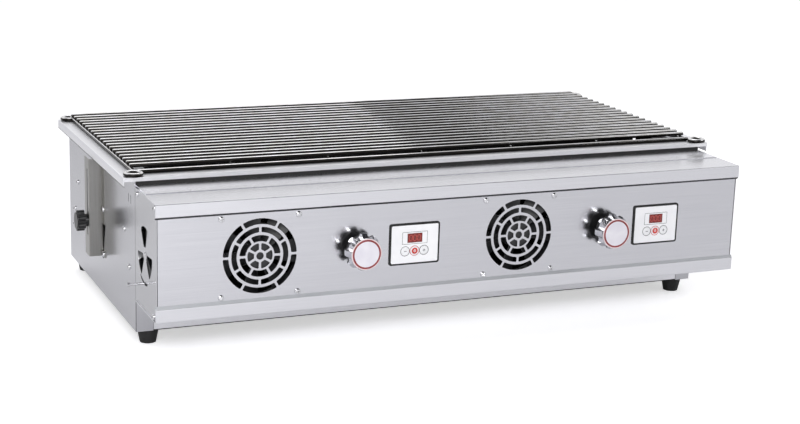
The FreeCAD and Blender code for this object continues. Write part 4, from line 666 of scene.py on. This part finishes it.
def screw_places():
    """Where each screw sits and which way it looks, for the console and for the body."""
    panel_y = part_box("console_front_panel")[0].y
    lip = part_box("console_top_cover")[0].y
    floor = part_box("console_bottom_cover")[0].z
    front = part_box("left_side_panel")[0].y
    console, body = [], []
    for side in SIDES:
        low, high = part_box(f"{side}_fan_frame")
        middle = (low + high) / 2
        for across, up in ((-1, -1), (1, -1), (1, 1), (-1, 1)):
            spot = (middle.x + across * FAN_SCREW_HALF_PITCH * MM, panel_y,
                    middle.z + up * FAN_SCREW_HALF_PITCH * MM)
            console.append(("-y", spot))
    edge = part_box("left_side_panel")[0].x
    foot_x = edge - BRACKET_SHEET * MM
    foot_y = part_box("left_height_bracket")[0].y + BRACKET_FOOT / 2 * MM
    for sign, direction in ((1, "-x"), (-1, "+x")):
        for setback, rise in END_SCREWS:
            console.append((direction, (edge * sign, lip + setback * MM, floor + rise * MM)))
        for setback, rise in SIDE_SCREWS:
            body.append((direction, (edge * sign, front + setback * MM, floor + rise * MM)))
        for rise in BRACKET_SCREW_RISES:
            body.append((direction, (foot_x * sign, foot_y, floor + rise * MM)))
    return {"console_screws": console, "body_screws": body}


def make_screws():
    """The slots stand at chance angles, as a screwdriver leaves them."""
    vent_screw = pan_head_screw("vent_screw", VENT_SHANK)
    body_screw = pan_head_screw("body_screw", BODY_SHANK)
    for node, places in screw_places().items():
        made = []
        for index, (direction, spot) in enumerate(places):
            screw = copy_of(vent_screw if direction == "-y" else body_screw, f"{node}_{index}")
            screw.data.transform(Matrix.Rotation(math.radians(random.uniform(0, 90)), 4, "Z"))
            made.append(aim(screw, direction, spot))
        stand_for(join(f"{node}_cross_recessed", made), node)
    bpy.data.objects.remove(vent_screw)
    bpy.data.objects.remove(body_screw)


# Gas knobs: (height above the panel, radius) steps in mm

KNOB_FLUTES = 8
FLUTE_RADIUS = 6.3
FLUTE_ORBIT = 26.7
FLUTE_MIDDLE, FLUTE_LENGTH = 20, 28
SKIRT_STEPS = [(13, 23.6), (14.2, 25), (22.5, 25), (28.5, 21.8), (32.8, 21.6), (33.3, 21.3)]
KNOB_DETAILS = {
    "base": ([(9, 19.5), (9.6, 20.2), (13.4, 20.2)], 64, BLACK_PLASTIC),
    "rim": ([(32.6, 21.3), (33.35, 21.3), (33.6, 20.9), (33.6, 19.7)], 96, PINK_RIM),
    "line": ([(33, 19.9), (33.72, 19.9), (33.75, 18.4)], 96, RED_PAINT),
    "face": ([(33, 18.6), (33.7, 18.5), (33.85, 15.5), (33.93, 11), (33.97, 5.5), (33.99, 1.5)], 96,
             SILVER_FACE),
}


def knob_body(name):
    """The chromed body about Z: a deeply fluted skirt that narrows to a collar."""
    body = turned(name, SKIRT_STEPS, 96)
    cutters = []
    for index in range(KNOB_FLUTES):
        angle = math.tau * (index + 0.5) / KNOB_FLUTES
        spot = (FLUTE_ORBIT * MM * math.cos(angle), FLUTE_ORBIT * MM * math.sin(angle), FLUTE_MIDDLE * MM)
        cutters.append(primitive("cylinder", f"flute_{index}", vertices=48, radius=FLUTE_RADIUS * MM,
                                 depth=FLUTE_LENGTH * MM, location=spot))
    carve(body, join("flutes", cutters))
    rounded(body, 0.5)
    return smooth(body, 45)


def make_knob(side):
    """The chromed body with its black base, pale rim, red line and silver face."""
    node = f"{side}_gas_knob"
    low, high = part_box(node)
    spot = ((low.x + high.x) / 2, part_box("console_front_panel")[0].y, (low.z + high.z) / 2)
    stand_for(aim(knob_body(f"{side}_knob_body"), "-y", spot), node, material=CHROME)
    for detail, (steps, sides, material) in KNOB_DETAILS.items():
        piece = aim(smooth(turned(f"{side}_knob_{detail}", steps, sides)), "-y", spot)
        dress(piece, BODY_OF[node], material)


# Power regulators: sizes in mm

BEZEL_CORNER, BEZEL_EDGE, BEZEL_WIDTH = 3.2, 0.6, 2.5
CASE_INSET, CASE_EDGE = 4.1, 1.0
FILM_CORNER = 2.0
WINDOW_CORNER = 0.6
OUTLINE_WIDTH, OUTLINE_HEIGHT, OUTLINE_LINE = 37, 17, 0.5
FIGURE_HEIGHT = 7.4
FIGURE_OFFSETS = (-6.0, 0, 6.0)
SEGMENT_SLANT = 0.08
PRINT_SINK = 0.05
CAP_RADIUS = 5.85
POWER_DOT = 4.4


def rounded_plate(name, middle, width, height, front, back, corner_mm, edge_mm=0.0):
    """An upright plate with round corners, sizes in metres except the corner and edge radii."""
    half = Vector((width / 2, 0, height / 2))
    plate = block(name, (middle.x - half.x, front, middle.z - half.z),
                  (middle.x + half.x, back, middle.z + half.z))
    edit(plate, "EDGE")
    bpy.ops.mesh.select_all(action="DESELECT")
    leave()
    mesh = plate.data
    for edge in mesh.edges:
        run = mesh.vertices[edge.vertices[1]].co - mesh.vertices[edge.vertices[0]].co
        edge.select = abs(run.y) > abs(run.x) + abs(run.z)
    edit(plate, "EDGE")
    bpy.ops.mesh.bevel(offset=corner_mm * MM, segments=6)
    leave()
    if edge_mm:
        rounded(plate, edge_mm, 2)
    return smooth(plate)


def frame_line(name, middle, width, height, line, front, back, corner_mm):
    """A thin rectangular outline."""
    outer = rounded_plate(name, middle, width, height, front, back, corner_mm)
    inner = rounded_plate(name + "_inside", middle, width - line * 2, height - line * 2,
                          front - 1 * MM, back + 1 * MM, max(corner_mm - line / MM, 0.1))
    return carve(outer, inner)


def ring(name, spot, outer_mm, inner_mm, thick_mm):
    """A flat ring on a face that looks along -Y."""
    band = turned(name, [(0, outer_mm), (thick_mm, outer_mm)], 48)
    hole = turned(name + "_hole", [(-1, inner_mm), (thick_mm + 1, inner_mm)], 48)
    return aim(carve(band, hole), "-y", spot)


def zero_figure(name, centre, height, front):
    """A nought of six slanting segments, as a display shows it."""
    half_w, half_h, bar = height * 0.28, height * 0.5, height * 0.11
    flat, upright = (half_w * 0.78, bar / 2), (bar / 2, half_h * 0.42)
    segments = (
        ((0, half_h), flat),
        ((half_w, half_h / 2), upright),
        ((half_w, -half_h / 2), upright),
        ((0, -half_h), flat),
        ((-half_w, -half_h / 2), upright),
        ((-half_w, half_h / 2), upright),
    )
    bars = []
    for index, ((across, up), (long, short)) in enumerate(segments):
        x = centre.x + across + up * SEGMENT_SLANT
        bars.append(block(f"{name}_segment_{index}", (x - long, front - 0.05 * MM, centre.z + up - short),
                          (x + long, front + 0.3 * MM, centre.z + up + short)))
    return join(name, bars)


def middle_of(node):
    """The middle of a node seen from the front, with no depth."""
    low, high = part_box(node)
    return Vector(((low.x + high.x) / 2, 0, (low.z + high.z) / 2))


def make_housing(side):
    """The case behind the panel and the bezel before it, in one moulding."""
    node = f"{side}_regulator_case"
    low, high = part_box(node)
    middle = middle_of(node)
    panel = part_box("console_front_panel")[0].y
    width, height = high.x - low.x, high.z - low.z
    bezel = rounded_plate(f"{side}_regulator_bezel", middle, width, height, low.y, panel, BEZEL_CORNER,
                          BEZEL_EDGE)
    carve(bezel, rounded_plate(f"{side}_recess", middle, width - BEZEL_WIDTH * 2 * MM,
                               height - BEZEL_WIDTH * 2 * MM, low.y - 1 * MM, low.y + 0.5 * MM, FILM_CORNER))
    inset = CASE_INSET * MM
    case = block(f"{side}_case", (low.x + inset, panel, low.z + inset),
                 (high.x - inset, high.y, high.z - inset))
    housing = join(f"{side}_regulator_housing", [bezel, rounded(case, CASE_EDGE)])
    stand_for(smooth(housing), node)


def make_display(side, face):
    """The white film, and on it the red window with three figures inside a printed outline."""
    middle = middle_of(f"{side}_regulator_case")
    low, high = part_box(f"{side}_regulator_face")
    film = rounded_plate(f"{side}_regulator_film", middle, high.x - low.x, high.z - low.z,
                         face + 0.15 * MM, face + 0.6 * MM, FILM_CORNER)
    stand_for(film, f"{side}_regulator_face")
    low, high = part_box(f"{side}_display_window")
    middle = middle_of(f"{side}_display_window")
    window = rounded_plate(f"{side}_display_pane", middle, high.x - low.x, high.z - low.z,
                           face + PRINT_SINK * MM, face + 0.7 * MM, WINDOW_CORNER)
    stand_for(window, f"{side}_display_window")
    for index, offset in enumerate(FIGURE_OFFSETS):
        figure = zero_figure(f"{side}_figure_{index}", middle + Vector((offset * MM, 0, 0)),
                             FIGURE_HEIGHT * MM, face + PRINT_SINK * MM)
        dress(figure, "body", SEGMENT)
    outline = frame_line(f"{side}_window_outline", middle, OUTLINE_WIDTH * MM, OUTLINE_HEIGHT * MM,
                         OUTLINE_LINE * MM, face + 0.1 * MM, face + 0.3 * MM, WINDOW_CORNER)
    dress(outline, "body", PRINT_INK)


def sign_bar(name, spot, half_width, low, high, proud):
    """A raised bar of a button's sign; low and high are counted from the button's middle."""
    return block(name, (spot.x - half_width * MM, spot.y - proud * MM, spot.z + low * MM),
                 (spot.x + half_width * MM, spot.y + PRINT_SINK * MM, spot.z + high * MM))


def make_button(side, name, face):
    """A white cap with its sign, and the ring printed round it on the film."""
    node = f"{side}_{name}_button"
    low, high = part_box(node)
    spot = middle_of(node) + Vector((0, low.y, 0))
    depth = (high.y - low.y) / MM
    steps = [(0, CAP_RADIUS), (depth - 0.55, CAP_RADIUS), (depth - 0.2, 5.5), (depth, 4.4), (depth, 2.2)]
    cap = smooth(turned(f"{side}_{name}_cap", steps, 48), 50)
    stand_for(aim(cap, "-y", (spot.x, high.y, spot.z)), node, material=WHITE_BUTTON)
    print_spot = (spot.x, spot.y + PRINT_SINK * MM, spot.z)
    rim_spot = (spot.x, face + 0.2 * MM, spot.z)
    if name == "power":
        dot = turned(f"{side}_power_dot", [(0, POWER_DOT), (0.07, POWER_DOT)], 48)
        dress(aim(dot, "-y", print_spot), BODY_OF[node], RED_BUTTON)
        mark = ring(f"{side}_power_mark", print_spot, 1.7, 1.1, 0.12)
        stroke = sign_bar(f"{side}_power_stroke", spot, 0.35, 0.2, 2.8, 0.07)
        sign = join(f"{side}_power_sign", [mark, stroke])
        dress(sign, BODY_OF[node], WHITE_BUTTON)
        rim = ring(f"{side}_power_rim", rim_spot, 7.1, 6.3, 0.1)
        dress(rim, "body", RED_INK)
        return
    bars = [sign_bar(f"{side}_{name}_bar", spot, 1.9, -0.4, 0.4, 0.07)]
    if name == "plus":
        bars.append(sign_bar(f"{side}_{name}_upright", spot, 0.4, -1.9, 1.9, 0.08))
    dress(join(f"{side}_{name}_sign", bars), BODY_OF[node], PRINT_INK)
    rim = ring(f"{side}_{name}_rim", rim_spot, 6.9, 6.2, 0.1)
    dress(rim, "body", PRINT_INK)


def make_regulator(side):
    make_housing(side)
    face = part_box(f"{side}_regulator_case")[0].y
    make_display(side, face)
    for name in ("minus", "power", "plus"):
        make_button(side, name, face)


# Grate

BAR_COUNT = 20
BAR_RADIUS = 3.0


def round_bar(name, start, end):
    """A ground rod with eased ends."""
    length = (end - start) / MM
    steps = [(0, 2.1), (0.5, 2.8), (1.1, BAR_RADIUS),
             (length - 1.1, BAR_RADIUS), (length - 0.5, 2.8), (length, 2.1)]
    return turned(name, steps, 24)


def make_grate():
    low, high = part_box("grate_bars")
    pitch = (high.y - low.y - 2 * BAR_RADIUS * MM) / (BAR_COUNT - 1)
    first = (low.x, low.y + BAR_RADIUS * MM, (low.z + high.z) / 2)
    pattern = aim(round_bar("bar_pattern", low.x, high.x), "+x", first)
    bars = [shift(copy_of(pattern, f"bar_{index}"), (0, pitch * index, 0)) for index in range(BAR_COUNT)]
    bpy.data.objects.remove(pattern)
    stand_for(smooth(join("grate_long_bars", bars), 60), "grate_bars")


# Stage and light

FLOOR_GLOW = 0.55
FLOOR_IN_METAL = 0.15


def make_stage():
    """A pale floor that glows for the eye, and weakly in the metal, but lights nothing."""
    deselect()
    bpy.ops.mesh.primitive_plane_add(size=60)
    floor = bpy.context.object
    floor.name = "floor"
    material = new_material("pale_studio_floor")
    tree = material.node_tree
    speckle = noise(tree, 400, detail=1)
    colour = ramp_of(tree, speckle, [(0.2, "EFEFF1"), (0.8, "F3F3F5")])
    diffuse = add_node(tree, "BsdfDiffuse", links={"Color": colour})
    path = add_node(tree, "LightPath")
    seen = add_node(tree, "Math", operation="MAXIMUM",
                    links={0: path.outputs["Is Camera Ray"], 1: path.outputs["Is Transmission Ray"]})
    mirrored = add_node(tree, "Math", values={1: FLOOR_IN_METAL}, operation="MULTIPLY",
                        links={0: path.outputs["Is Glossy Ray"]})
    both = add_node(tree, "Math", operation="MAXIMUM", links={0: seen.outputs[0], 1: mirrored.outputs[0]})
    strength = add_node(tree, "Math", values={1: FLOOR_GLOW}, operation="MULTIPLY",
                        links={0: both.outputs[0]})
    glow = add_node(tree, "Emission", links={"Strength": strength.outputs[0]})
    whole = add_node(tree, "AddShader", links={0: diffuse.outputs[0], 1: glow.outputs[0]})
    floor.data.materials.append(close_material(material, whole))


def make_world():
    """A white studio whose only dark part is the unlit ceiling before and above the camera."""
    world = bpy.data.worlds.new("room")
    bpy.context.scene.world = world
    world.use_nodes = True
    tree = world.node_tree
    tree.nodes.clear()
    coordinates = add_node(tree, "TexCoord")
    parts = add_node(tree, "SeparateXYZ", links={"Vector": coordinates.outputs["Generated"]})
    ahead = add_node(tree, "MapRange", links={"Value": parts.outputs["Y"]},
                     values={"From Min": 0.3, "From Max": -0.1}).outputs["Result"]
    above = add_node(tree, "MapRange", links={"Value": parts.outputs["Z"]},
                     values={"From Min": 0.28, "From Max": 0.42}).outputs["Result"]
    unlit = add_node(tree, "Math", operation="MULTIPLY", links={0: ahead, 1: above})
    shade = ramp_of(tree, unlit.outputs[0], [(0.0, "F8F8FA"), (1.0, "3C3C3E")])
    backdrop = add_node(tree, "Background", values={"Strength": 1.0}, links={"Color": shade})
    add_node(tree, "OutputWorld", links={"Surface": backdrop.outputs[0]})


def area_light(name, spot, target, size, power):
    lamp = bpy.data.lights.new(name, "AREA")
    lamp.shape = "RECTANGLE"
    lamp.size, lamp.size_y = size
    lamp.energy = power
    piece = bpy.data.objects.new(name, lamp)
    bpy.context.scene.collection.objects.link(piece)
    turn = (Vector(target) - Vector(spot)).to_track_quat("-Z", "Y").to_matrix().to_4x4()
    piece.matrix_world = Matrix.Translation(Vector(spot)) @ turn


def make_lights():
    area_light("key", (-1.4, -2.6, 1.7), (0, -0.1, 0.12), (1.4, 1.0), 44)
    area_light("fill", (2.4, -1.4, 1.8), (0, 0, 0.15), (1.6, 1.2), 9)
    area_light("top", (0, 0.4, 2.6), (0, 0, 0.2), (2.0, 1.0), 10)
    area_light("floor_left", (-0.55, -0.95, 0.5), (-0.5, -0.85, 0), (0.3, 0.3), 1.1)


random.seed(7)
make_camera()
finish_cad_nodes()
for sheet_node in FOLDED:
    soften_sheet(sheet_node)
for round_node in ROUND:
    smooth_round(round_node)
make_screws()
make_grate()
for side in SIDES:
    make_knob(side)
    make_regulator(side)
make_stage()
make_world()
make_lights()
bpy.context.scene.view_settings.view_transform = "Standard"
